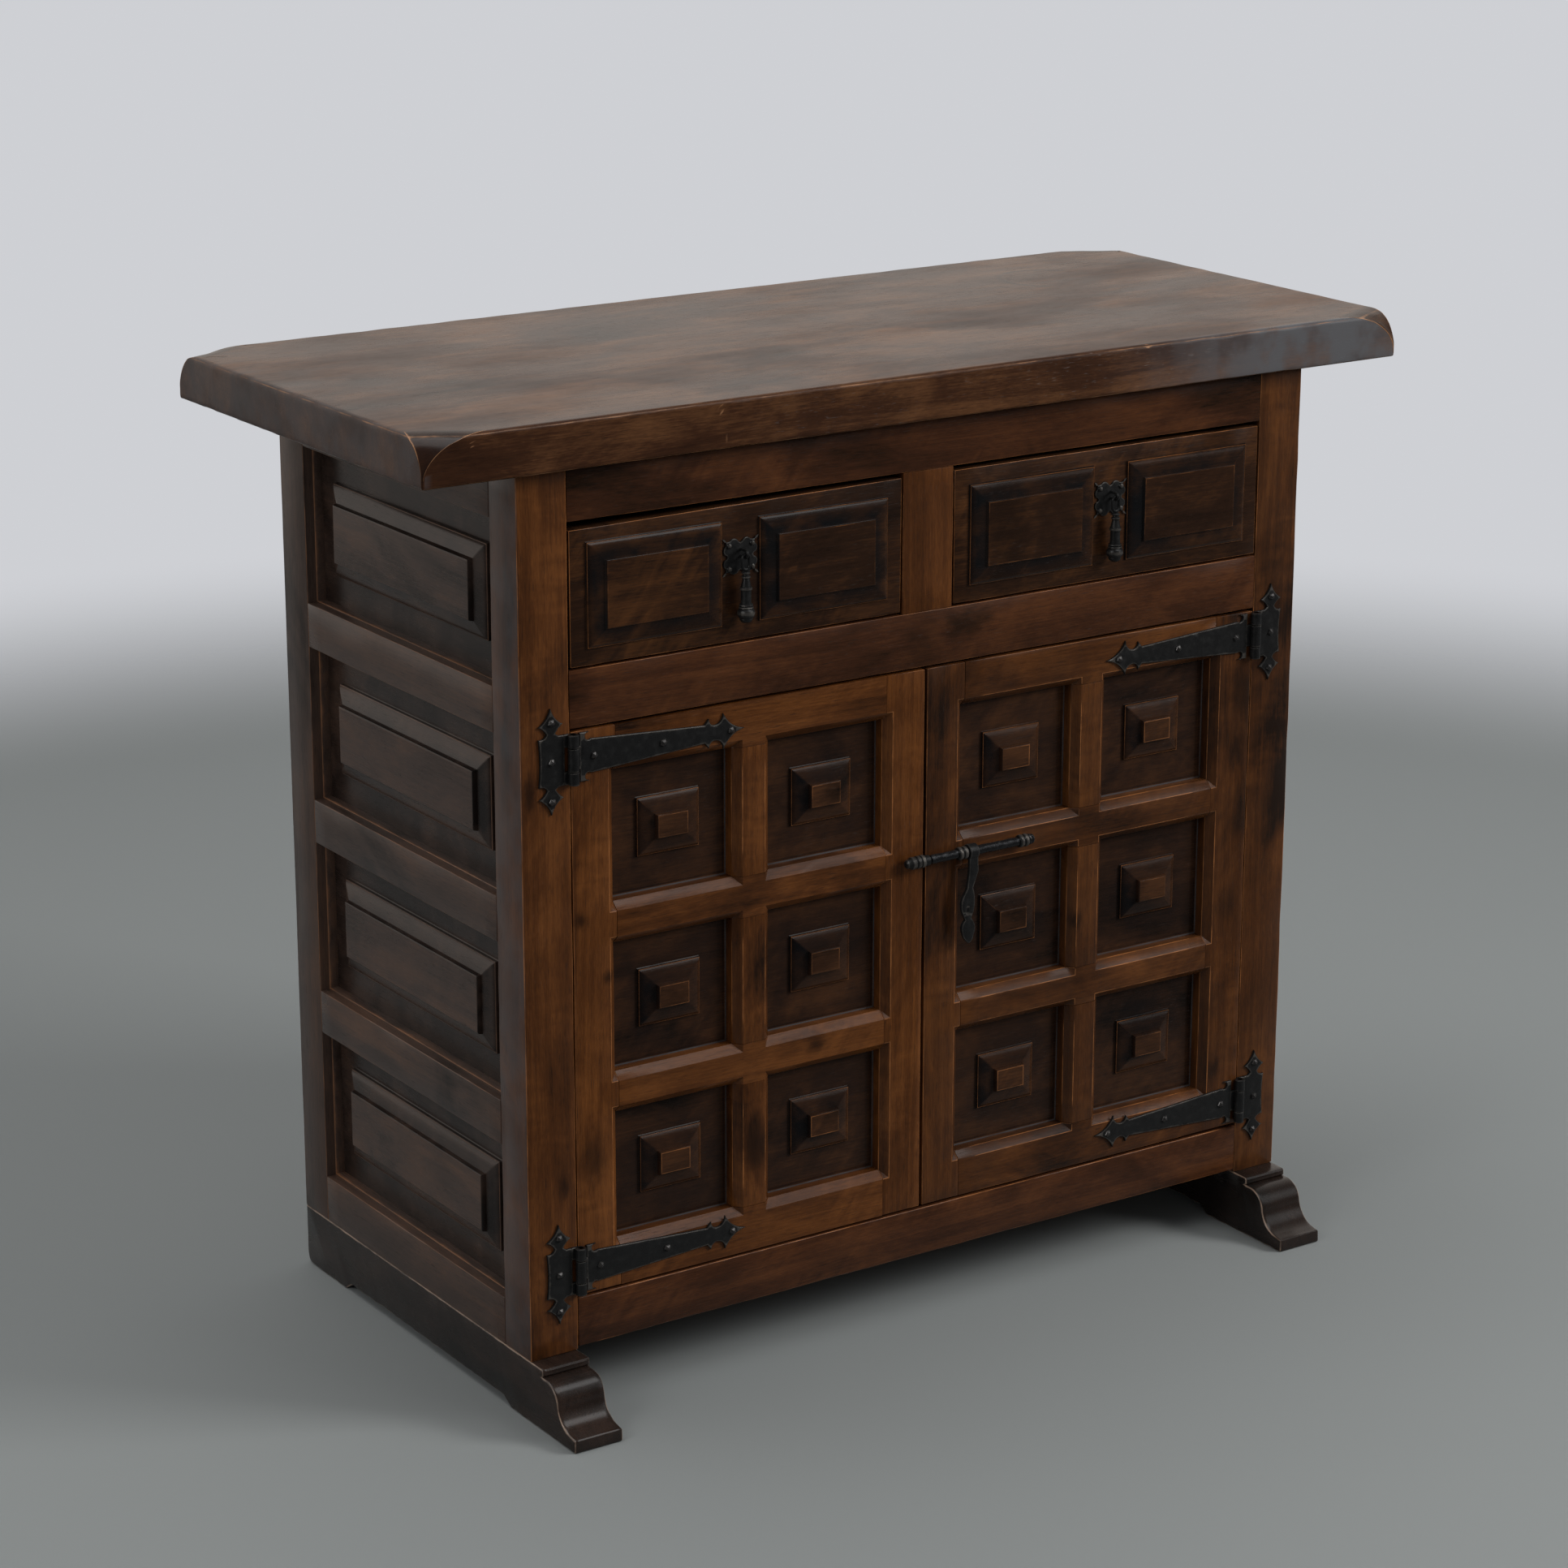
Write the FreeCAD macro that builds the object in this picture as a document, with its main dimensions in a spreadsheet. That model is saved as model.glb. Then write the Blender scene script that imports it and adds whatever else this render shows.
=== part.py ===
import FreeCAD, Part
import math
import os
import Sketcher

# A low Spanish-style cabinet in dark wood: a thick slab top, two drawers over two panelled doors, framed
# and panelled sides, two sled feet with scrolled toes, and black iron hinges, bolt and drop pulls.
# +X is the right-hand side, -Y the front, +Z up. The origin is on the floor under the middle of the box.

sizes = {
    # case
    "case_width": 813.5,
    "case_depth": 413,
    "post_height": 769,
    "sled_height": 56.8,
    "toe_reach": 71,  # how far the toes stand in front of the case
    "sled_rear_round": 9,
    "centre_offset": 3.7,  # the divider and the meeting line of the doors sit this far left of the middle
    "post_width": 47,
    "post_depth": 44,
    "frame_thickness": 25,
    "top_rail": 46.7,
    "drawer_opening": 123.5,
    "middle_rail": 49,
    "bottom_rail": 45,
    "bottom_rail_lift": 2.7,
    "divider_width": 52,
    # top slab
    "slab_side_overhang": 93.25,
    "slab_front_overhang": 18.3,
    "slab_thickness": 40.5,
    "slab_top_round": 3.5,
    "slab_bottom_round": 2,
    "carve_length": 59,
    "carve_depth": 32,
    "carve_height": 38,
    # side frames and panels
    "side_top_rail": 45.2,
    "side_rail": 40,
    "side_bottom_rail": 43.2,
    "rebate_width": 5,
    "bead_recess": 9,
    "bead_depth": 9,
    "bead_proud": 1.2,
    "fit_gap": 0.2,
    "panel_play": 0.5,  # behind the side panels, within the frame
    "field_border": 29,
    "field_step": 4,
    "field_slope": 17,
    "field_slope_rise": 9.5,
    # inside of the case
    "board_thickness": 18,
    "shelf_above_bottom": 257,
    "shelf_gap": 0.5,
    "cleat_width": 18,
    "cleat_gap": 1,  # behind the doors
    "cleat_height": 20,
    "guide_height": 20,
    "back_rail_thickness": 12,
    "back_board_thickness": 12,
    "back_board_gap": 0.6,
    "stop_width": 60,
    "stop_depth": 20,
    "stop_drop": 16,
    # screws
    "screw_shank_radius": 3,
    "screw_head_radius": 6,
    "screw_head_height": 5,
    "screw_recess": 12,
    "screw_grip": 35,
    "screw_from_end": 60,
    "slab_screw_radius": 2,
    "slab_screw_head_radius": 4.5,
    "slab_screw_head_height": 3,
    "slab_screw_grip": 24,
    "hole_clearance": 0.05,
    # doors
    "door_thickness": 25,
    "door_side_gap": 0.8,
    "door_end_gap": 2.5,
    "door_meeting_gap": 3,
    "door_stile": 42.5,
    "door_meeting_stile": 40,
    "door_muntin": 37,
    "door_top_rail": 40,
    "door_rail": 36.5,
    "door_bottom_rail": 41.5,
    "door_chamfer": 7,
    "door_panel_recess": 16,
    "door_panel_play": 2,  # behind the door panels, within the door
    "block_width": 61,
    "block_height": 51,
    "block_step": 2.5,
    "block_slope": 17,
    "block_slope_rise": 8.5,
    # drawers
    "drawer_side_gap": 1.5,
    "drawer_bottom_gap": 2,
    "drawer_top_gap": 4,
    "drawer_front_thickness": 20,
    "drawer_side_thickness": 12,
    "drawer_side_top_gap": 23.5,
    "drawer_back_gap": 44,
    "drawer_bottom_thickness": 7,
    "drawer_bottom_lift": 9,
    "drawer_groove": 5,
    "raised_inset": 15.5,
    "raised_end_inset": 14.5,
    "raised_step": 2,
    "raised_slope": 17.5,
    "raised_slope_rise": 5,
    # strap hinges
    "hinge_below_top": 22,
    "hinge_above_bottom": 24,
    "barrel_radius": 4.7,
    "barrel_gap": 0.4,  # between barrel and wood
    "barrel_length": 43,
    "end_knuckle": 11.2,
    "knuckle_gap": 0.3,
    "pin_radius": 2.2,
    "leaf_thickness": 2.2,
    "leaf_inner_edge": 6.5,
    "jamb_leaf_centre": 19.3,
    "jamb_leaf_height": 90.5,
    "jamb_leaf_width": 23.5,
    "jamb_nail_from_end": 11.75,
    "strap_root": 9,
    "strap_length": 168,
    "strap_height": 41.4,
    "strap_first_nail": 20.7,
    "strap_last_nail": 13.7,  # from the tip
    # nails
    "nail_radius": 1.5,
    "nail_length": 14,
    "nail_head_radius": 3.7,
    "nail_head_height": 3.2,
    # bolt across the doors
    "bolt_above_rail": 2.35,  # above the middle of the upper cross rail
    "bolt_radius": 4.15,
    "bolt_clearance": 0.1,
    "bolt_tip_gap": 1.7,  # clears the inner corner of the other door as it swings
    "staple_wall": 1.5,
    "staple_shank_radius": 1.6,
    "staple_depth": 12,
    "staple_length": 10.2,
    "first_staple_inset": 27.7,
    "second_staple_inset": 93.9,
    "staple_play": 0.4,
    "button_length": 5.9,
    "button_lip": 0.75,
    "keeper_sleeve_wall": 0.6,
    "keeper_inset": 5,
    "keeper_length": 14.6,
    "keeper_end_wall": 2.2,
    "knob_length": 4.4,
    "knob_radius": 3.4,
    # drop handle of the bolt
    "loop_width": 9.6,
    "loop_wall": 2.5,
    "loop_clearance": 0.35,
    "loop_gap": 1,  # between loop and door
    "handle_drop": 83.3,
    "handle_width": 14,
    "handle_thickness": 3.2,
    "handle_front": 5.2,
    "handle_slot_radius": 1.8,
    # drop pulls of the drawers
    "pull_above_bottom": 72.3,
    "pull_plate_width": 34,
    "pull_plate_height": 31,
    "pull_plate_thickness": 1.8,
    "pull_plate_margin": 1.5,
    "pull_nail_inset": 5.6,
    "pull_nail_radius": 1,
    "pull_nail_length": 9,
    "pull_nail_head_radius": 2.6,
    "pull_nail_head_height": 1.9,
    "pull_pivot_rise": 3,
    "pull_staple_wire": 1.2,
    "pull_staple_depth": 8,
    "eye_width": 9.6,
    "eye_wire": 1.3,
    "eye_height": 15.6,
    "eye_play": 0.4,
    "drop_length": 58.3,
    "drop_radius": 7.5,
    "drop_gap": 2,  # between the drop and the drawer front
}

doc = FreeCAD.newDocument("Cabinet")
sheet = doc.addObject("Spreadsheet::Sheet", "Sizes")
for row, (alias, amount) in enumerate(sizes.items(), start=1):
    sheet.set(f"A{row}", alias)
    sheet.set(f"B{row}", str(amount))
    sheet.setAlias(f"B{row}", alias)
doc.recompute()


class Size:
    """A length that carries its number and its formula, which names cells of the sheet."""

    def __init__(self, number, text):
        self.number = number
        self.text = text

    def __add__(self, other):
        return Size(self.number + number(other), f"({self.text} + {formula(other)})")

    def __sub__(self, other):
        return Size(self.number - number(other), f"({self.text} - {formula(other)})")

    def __rsub__(self, other):
        return Size(number(other) - self.number, f"({formula(other)} - {self.text})")

    def __mul__(self, other):
        return Size(self.number * number(other), f"({self.text} * {formula(other)})")

    def __truediv__(self, other):
        return Size(self.number / number(other), f"({self.text} / {formula(other)})")

    def __neg__(self):
        return self * -1

    __radd__ = __add__
    __rmul__ = __mul__


def number(amount):
    return amount.number if isinstance(amount, Size) else amount


def formula(amount):
    return amount.text if isinstance(amount, Size) else repr(amount)


class Cells:
    """The sheet's cells as lengths, each under its alias."""

    def __init__(self):
        for alias in sizes:
            setattr(self, alias, Size(float(sheet.get(alias)), f"Sizes.{alias}"))


cell = Cells()
kept = []  # the sub-parts, each written to a file of its own


def bind(piece, **amounts):
    for name, amount in amounts.items():
        piece.setExpression(name, formula(amount))
    return piece


def place(piece, at, turned=None):
    """Puts a piece at a point, turned by an (axis, degrees) pair or towards a direction."""
    if turned is not None:
        piece.Placement = FreeCAD.Placement(FreeCAD.Vector(), FreeCAD.Rotation(*turned))
    for axis, amount in zip("xyz", at):
        piece.setExpression(f".Placement.Base.{axis}", formula(amount))
    return piece


def box(name, corner, opposite):
    """A box between two opposite corners, given in any order."""
    spans = [sorted(pair, key=number) for pair in zip(corner, opposite)]
    piece = doc.addObject("Part::Box", name)
    length, width, height = (high - low for low, high in spans)
    bind(piece, Length=length, Width=width, Height=height)
    return place(piece, [low for low, high in spans])


def cylinder(name, radius, at, along, length):
    piece = doc.addObject("Part::Cylinder", name)
    bind(piece, Radius=radius, Height=length)
    return place(piece, at, (FreeCAD.Vector(0, 0, 1), FreeCAD.Vector(*along)))


def cone(name, first_radius, last_radius, at, along, length):
    piece = doc.addObject("Part::Cone", name)
    bind(piece, Radius1=first_radius, Radius2=last_radius, Height=length)
    return place(piece, at, (FreeCAD.Vector(0, 0, 1), FreeCAD.Vector(*along)))


def half_ring(name, bend, wire, at, turned):
    """Half a ring of round wire, in the XY plane until it is turned."""
    piece = doc.addObject("Part::Torus", name)
    bind(piece, Radius1=bend, Radius2=wire, Angle3=180)
    return place(piece, at, turned)


def frustum(name, at, turn, base, top, rise):
    """A four-sided frustum that rises along +Y from a base centred on a point, turned about Z."""
    piece = doc.addObject("Part::Wedge", name)
    bind(
        piece,
        Xmin=base[0] / -2, Xmax=base[0] / 2, Zmin=base[1] / -2, Zmax=base[1] / 2, Ymin=0, Ymax=rise,
        X2min=top[0] / -2, X2max=top[0] / 2, Z2min=top[1] / -2, Z2max=top[1] / 2,
    )
    return place(piece, at, (FreeCAD.Vector(0, 0, 1), turn))


def group(name, pieces):
    piece = doc.addObject("Part::Compound", name)
    piece.Links = pieces
    return piece


def fuse(name, pieces):
    piece = doc.addObject("Part::MultiFuse", name)
    piece.Shapes = pieces
    return piece


def cut(name, base, tool):
    piece = doc.addObject("Part::Cut", name)
    piece.Base = base
    piece.Tool = tool
    return piece


def keep(label, piece):
    """Names a finished sub-part, which gets a file of that name."""
    piece.Label = label
    kept.append(piece)
    return piece


def outline(body, plane, steps):
    """A closed outline in a sketch. A step is a corner, or a point to pass through and then a corner."""
    sketch = body.newObject("Sketcher::SketchObject", "Outline")
    origin_plane = [item for item in body.Origin.OriginFeatures if item.Role == plane][0]
    sketch.AttachmentSupport = [(origin_plane, "")]
    sketch.MapMode = "FlatFace"

    def spot(pair):
        return FreeCAD.Vector(number(pair[0]), number(pair[1]), 0)

    def pin_down(pair, item, end):
        for kind, amount in zip(("DistanceX", "DistanceY"), pair):
            index = sketch.addConstraint(Sketcher.Constraint(kind, -1, 1, item, end, number(amount)))
            sketch.setExpression(f"Constraints[{index}]", formula(amount))

    corners = [step[-2:] for step in steps]
    ends = []
    for index, step in enumerate(steps):
        start, finish = spot(corners[index - 1]), spot(corners[index])
        if len(step) == 2:
            sketch.addGeometry(Part.LineSegment(start, finish))
            ends.append((1, 2))
        else:
            arc = Part.ArcOfCircle(start, spot(step[:2]), finish)
            forward = arc.Axis.z > 0
            if not forward:
                arc = Part.ArcOfCircle(finish, spot(step[:2]), start)
            sketch.addGeometry(arc)
            ends.append((1, 2) if forward else (2, 1))
    for index in range(len(steps)):
        following = (index + 1) % len(steps)
        meeting = (index, ends[index][1], following, ends[following][0])
        sketch.addConstraint(Sketcher.Constraint("Coincident", *meeting))
        pin_down(corners[index], index, ends[index][1])
    for index, step in enumerate(steps):
        if len(step) == 4:
            point = sketch.addGeometry(Part.Point(spot(step[:2])), True)
            sketch.addConstraint(Sketcher.Constraint("PointOnObject", point, 1, index))
            pin_down(step[:2], point, 1)
    return sketch


def padded(name, plane, steps, length, at, turned=None, reversed_pad=False):
    """A body made by padding an outline."""
    body = doc.addObject("PartDesign::Body", name)
    sketch = outline(body, plane, steps)
    pad = body.newObject("PartDesign::Pad", "Pad")
    pad.Profile = sketch
    pad.Reversed = reversed_pad
    bind(pad, Length=length)
    return place(body, at, turned)


def scaled(pairs, across, up):
    """Steps of an outline from shares of a width and a height."""
    return [tuple(share * (across, up)[index % 2] for index, share in enumerate(pair)) for pair in pairs]


# Levels and lines that the pieces share
left, right = cell.case_width / -2, cell.case_width / 2
front = (cell.toe_reach - cell.case_depth) / 2
back = front + cell.case_depth
case_low = cell.sled_height
case_high = case_low + cell.post_height
drawer_high = case_high - cell.top_rail
drawer_low = drawer_high - cell.drawer_opening
middle_low = drawer_low - cell.middle_rail
bottom_low = case_low + cell.bottom_rail_lift
bottom_high = bottom_low + cell.bottom_rail
middle_line = -cell.centre_offset
board_back = back - cell.back_rail_thickness - cell.back_board_thickness
panel_recess = cell.bead_recess + cell.bead_depth
panel_thickness = cell.frame_thickness - panel_recess - cell.panel_play
post_inset = cell.case_width / 2 - cell.post_width  # from the middle to the posts' inner faces
frame_inset = cell.case_width / 2 - cell.frame_thickness  # to the side rails' inner faces
hinge_line = post_inset - cell.door_side_gap / 2
door_low = bottom_high + cell.door_end_gap
door_high = middle_low - cell.door_end_gap
door_rails = cell.door_top_rail + cell.door_bottom_rail + 2 * cell.door_rail
door_opening = (door_high - door_low - door_rails) / 3
door_opening_lows = [
    door_low + cell.door_bottom_rail + index * (door_opening + cell.door_rail) for index in range(3)
]
hinge_levels = {"lower": door_low + cell.hinge_above_bottom, "upper": door_high - cell.hinge_below_top}
hinge_depth = front - cell.barrel_radius - cell.barrel_gap
hands = {"left": -1, "right": 1}
head_taper_share = 0.35  # how narrow a hammered head is at its top


def nail_heads(spots, face, radius, head, rise, length):
    """Nails driven along +Y, each with a shank and a hammered head on the face of the iron."""
    nails = []
    for x, z in spots:
        shank = cylinder("Shank", radius, (x, face, z), (0, 1, 0), length)
        cap = cone("Head", head, head * head_taper_share, (x, face, z), (0, -1, 0), rise)
        nails.append(fuse("Nail", [shank, cap]))
    return nails


def holes(spots, radius, start, length, along=(0, 1, 0)):
    """One cutter for round holes at points of the X-Z plane, drilled along a direction."""
    drills = [cylinder("Drill", radius, (x, start, z), along, length) for x, z in spots]
    return fuse("Drills", drills) if len(drills) > 1 else drills[0]


# Top slab
carve_rise_shares = (0.1, 0.35, 0.55, 0.72, 0.86, 0.95, 1.0, 1.04)
carve_bulge_share = 0.44


def corner_carving(hand, face, inward):
    """The wood carved off a corner of the slab: nothing at its foot, most at the top face."""
    long, deep, tall = cell.carve_length.number, cell.carve_depth.number, cell.carve_height.number
    end = (cell.case_width / 2 + cell.slab_side_overhang).number * hand
    foot = case_high.number + cell.slab_thickness.number - tall
    outside = deep
    sections = []
    for rise_share in carve_rise_shares:
        away_share = 1 - math.sqrt(max(0, 1 - rise_share**2))
        height = foot + tall * rise_share
        along = FreeCAD.Vector(end - hand * long * away_share, face, height)
        behind = FreeCAD.Vector(end, face + inward * deep * away_share, height)
        bulge = FreeCAD.Vector(
            end - hand * long * away_share * carve_bulge_share,
            face + inward * deep * away_share * carve_bulge_share,
            height,
        )
        far = [
            FreeCAD.Vector(end + hand * outside, behind.y, height),
            FreeCAD.Vector(end + hand * outside, face - inward * outside, height),
            FreeCAD.Vector(along.x, face - inward * outside, height),
        ]
        edges = [Part.Arc(along, bulge, behind).toShape()]
        for start, finish in zip([behind] + far, far + [along]):
            edges.append(Part.LineSegment(start, finish).toShape())
        sections.append(Part.Wire(edges))
    carving = doc.addObject("Part::Feature", "Carving")
    carving.Shape = Part.makeLoft(sections, True, True)
    return carving


def top_slab():
    half = cell.case_width / 2 + cell.slab_side_overhang
    face = front - cell.slab_front_overhang
    steps = [(-half, face), (half, face), (half, back), (-half, back)]
    slab = padded("Slab", "XY_Plane", steps, cell.slab_thickness, (0, 0, case_high))
    doc.recompute()
    for level, radius in ((cell.slab_thickness, cell.slab_top_round), (0, cell.slab_bottom_round)):
        base = slab.Tip
        names = [
            f"Edge{index}"
            for index, edge in enumerate(base.Shape.Edges, start=1)
            if all(abs(corner.Z - number(level)) < cell.fit_gap.number for corner in edge.Vertexes)
        ]
        rounding = slab.newObject("PartDesign::Fillet", "Rounding")
        rounding.Base = (base, names)
        bind(rounding, Radius=radius)
        doc.recompute()
    carvings = [
        corner_carving(hand, edge.number, inward)
        for hand in hands.values() for edge, inward in ((face, 1), (back, -1))
    ]
    carved = cut("Carved", slab, fuse("Carvings", carvings))
    return cut("TopSlab", carved, slab_screw_holes())


def slab_screw_spots():
    """Where the screws go up through the cleats into the slab."""
    across = frame_inset - cell.cleat_width / 2
    along = [front + cell.post_depth + cell.screw_from_end, back - cell.post_depth - cell.screw_from_end]
    return [(hand * across, y) for hand in hands.values() for y in along]


def upright_cylinders(spots, radius, level, length):
    up = (0, 0, 1)
    return fuse("Uprights", [cylinder("Upright", radius, (x, y, level), up, length) for x, y in spots])


def slab_screw_holes():
    radius = cell.slab_screw_radius + cell.hole_clearance
    length = cell.cleat_height + cell.slab_screw_grip
    return upright_cylinders(slab_screw_spots(), radius, case_high - cell.cleat_height, length)


# Posts, rails and side panels
def side_openings():
    """The bottom and top of each panel opening of a side frame, from the lowest."""
    rails = cell.side_top_rail + cell.side_bottom_rail + 3 * cell.side_rail
    tall = (cell.post_height - rails) / 4
    lows = [case_low + cell.side_bottom_rail + index * (tall + cell.side_rail) for index in range(4)]
    return [(low, low + tall) for low in lows]


def side_frame(side, hand):
    """Rails, beads and raised panels between the posts of one side, and the cutter of their rebates."""
    face = hand * cell.case_width / 2
    inner = face - hand * cell.frame_thickness
    near, far = front + cell.post_depth, back - cell.post_depth
    openings = side_openings()
    edges = [case_low] + [level for opening in openings for level in opening] + [case_high]
    levels = zip(edges[::2], edges[1::2])
    rails = [box("Rail", (face, near, low), (inner, far, high)) for low, high in levels]
    rebate = cell.rebate_width
    bead_face = face - hand * cell.bead_recess
    panel_face = face - hand * panel_recess
    rebates = fuse("Rebates", [
        box("Rebate", (bead_face, near - rebate, low - rebate), (inner, far + rebate, high + rebate))
        for low, high in openings
    ])
    keep(f"side_rails_{side}", cut("SideRails", group("Rails", rails), rebates))

    seat = rebate - cell.fit_gap
    proud = cell.bead_proud
    beads, panels = [], []
    for low, high in openings:
        outer = box("BeadBlank", (bead_face, near - seat, low - seat), (panel_face, far + seat, high + seat))
        hole = box("BeadHole", (face, near + proud, low + proud), (inner, far - proud, high - proud))
        beads.append(cut("Bead", outer, hole))
        base = (far - near - 2 * cell.field_border, high - low - 2 * cell.field_border)
        flat = tuple(length - 2 * cell.field_slope for length in base)
        centre = ((near + far) / 2, (low + high) / 2)
        step_face = panel_face + hand * cell.field_step
        behind = panel_face - hand * panel_thickness
        panels.append(fuse("Panel", [
            box("Margin", (panel_face, near - seat, low - seat), (behind, far + seat, high + seat)),
            frustum("Step", (panel_face, *centre), -90 * hand, base, base, cell.field_step),
            frustum("Field", (step_face, *centre), -90 * hand, base, flat, cell.field_slope_rise),
        ]))
    keep(f"side_beads_{side}", group("Beads", beads))
    keep(f"side_panels_{side}", group("Panels", panels))
    return rebates


def post_screw_spots(hand):
    across = hand * (cell.case_width / 2 - cell.post_width / 2)
    return [(across, front + cell.post_depth / 2), (across, back - cell.post_depth / 2)]


def posts(side, hand, rebates, jamb_nails):
    """The two posts of one side; the front one is drilled for the hinge nails, both for the sled screws."""
    face, inner = hand * cell.case_width / 2, hand * post_inset
    radius = cell.screw_shank_radius + cell.hole_clearance
    screws = upright_cylinders(post_screw_spots(hand), radius, case_low, cell.screw_grip)
    nails = holes(jamb_nails, cell.nail_radius + cell.hole_clearance, front, cell.nail_length)
    blanks = []
    for name, near, far, drills in (
        ("front", front, front + cell.post_depth, [rebates, screws, nails]),
        ("rear", back - cell.post_depth, back, [rebates, screws]),
    ):
        blank = box("PostBlank", (face, near, case_low), (inner, far, case_high))
        blanks.append(blank)
        keep(f"post_{name}_{side}", cut("Post", blank, fuse("PostCuts", drills)))
    return blanks


def front_rails():
    """The rails between the front posts, the drawer divider, and the rails of the back at the same levels."""
    spans = {
        "top": (drawer_high, case_high),
        "middle": (middle_low, drawer_low),
        "bottom": (bottom_low, bottom_high),
    }
    behind = []
    for name, (low, high) in spans.items():
        rail = box("Rail", (-post_inset, front, low), (post_inset, front + cell.frame_thickness, high))
        keep(f"front_{name}_rail", rail)
        behind.append(box("BackRail", (-post_inset, back - cell.back_rail_thickness, low),
                          (post_inset, back, high)))
    half = cell.divider_width / 2
    divider = box("Divider", (middle_line - half, front, drawer_low),
                  (middle_line + half, front + cell.frame_thickness, drawer_high))
    keep("drawer_divider", divider)
    keep("back_rails", group("BackRails", behind))


def back_boards():
    """Upright boards behind the case, between the rear posts."""
    count = 6
    pitch = 2 * post_inset / count
    gap = cell.back_board_gap / 2
    boards = []
    for index in range(count):
        start = index * pitch - post_inset
        boards.append(box("Board", (start + gap, board_back, bottom_low),
                          (start + pitch - gap, board_back + cell.back_board_thickness, case_high)))
    keep("back_boards", group("BackBoards", boards))


def inner_boards(post_blanks):
    corners = fuse("PostCorners", post_blanks)
    behind_rails = front + cell.frame_thickness
    levels = {"drawer_deck": drawer_low, "bottom_board": bottom_high}
    for label, top in levels.items():
        board = box("Board", (-frame_inset, behind_rails, top - cell.board_thickness),
                    (frame_inset, board_back, top))
        keep(label, cut("NotchedBoard", board, corners))
    shelf_low = bottom_high + cell.shelf_above_bottom
    reach = post_inset - cell.shelf_gap
    shelf_front = front + cell.post_depth
    cleat_front = front + cell.door_thickness + cell.cleat_gap
    shelf_high = shelf_low + cell.board_thickness
    keep("shelf", box("Shelf", (-reach, shelf_front, shelf_low), (reach, board_back, shelf_high)))
    cleats = [
        box("Cleat", (hand * post_inset, cleat_front, shelf_low - cell.cleat_height),
            (hand * (post_inset - cell.cleat_width), board_back, shelf_low))
        for hand in hands.values()
    ]
    keep("shelf_cleats", group("ShelfCleats", cleats))
    guides = [
        box("SideGuide", (hand * frame_inset, front + cell.post_depth, drawer_low),
            (hand * post_inset, back - cell.post_depth, drawer_low + cell.guide_height))
        for hand in hands.values()
    ]
    half = cell.divider_width / 2
    guides.append(box("MiddleGuide", (middle_line - half, behind_rails, drawer_low),
                      (middle_line + half, board_back, drawer_low + cell.guide_height)))
    keep("drawer_guides", group("DrawerGuides", guides))
    stop_start, stop_end = middle_line - cell.stop_width / 2, middle_line + cell.stop_width / 2
    stop_back = behind_rails + cell.stop_depth
    keep("door_stop", fuse("Stop", [
        box("Block", (stop_start, behind_rails, middle_low),
            (stop_end, stop_back, drawer_low - cell.board_thickness)),
        box("Lip", (stop_start, front + cell.door_thickness, door_high - cell.stop_drop),
            (stop_end, stop_back, middle_low)),
    ]))


def slab_fixings():
    """Cleats inside the top side rails, and the screws that go up through them into the slab."""
    cleats = [
        box("SlabCleat", (hand * frame_inset, front + cell.post_depth, case_high - cell.cleat_height),
            (hand * (frame_inset - cell.cleat_width), back - cell.post_depth, case_high))
        for hand in hands.values()
    ]
    keep("slab_cleats", cut("SlabCleats", group("Cleats", cleats), slab_screw_holes()))
    under = case_high - cell.cleat_height
    screws = []
    for x, y in slab_screw_spots():
        length = cell.cleat_height + cell.slab_screw_grip
        shank = cylinder("Shank", cell.slab_screw_radius, (x, y, under), (0, 0, 1), length)
        head = cone("Head", cell.slab_screw_head_radius, cell.slab_screw_head_radius * head_taper_share,
                    (x, y, under), (0, 0, -1), cell.slab_screw_head_height)
        screws.append(fuse("SlabScrew", [shank, head]))
    for hand in hands.values():
        for x, y in post_screw_spots(hand):
            seat = cell.screw_recess
            length = case_low - seat + cell.screw_grip
            shank = cylinder("Shank", cell.screw_shank_radius, (x, y, seat), (0, 0, 1), length)
            head = cylinder("Head", cell.screw_head_radius, (x, y, seat), (0, 0, -1), cell.screw_head_height)
            screws.append(fuse("SledScrew", [shank, head]))
    keep("case_screws", group("CaseScrews", screws))


# Sled feet: the profile as shares of the toe's reach, forward of the case, and of the sled's height
toe_shares = [
    (0, 1),
    (-0.215, 1),
    (-0.252, 0.985, -0.258, 0.93),
    (-0.255, 0.885, -0.232, 0.872),
    (-0.3, 0.872),
    (-0.51, 0.79, -0.6, 0.6),
    (-0.685, 0.395, -0.86, 0.245),
    (-0.965, 0.215),
    (-0.992, 0.208, -1, 0.175),
    (-1, 0.04),
    (-0.99, 0.008, -0.965, 0),
]
front_pad_share = 0.087
rear_pad_share = 0.82
eighth_turn_share = math.sqrt(0.5)
relief_share = 0.13
relief_run_share = 0.03


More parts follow.
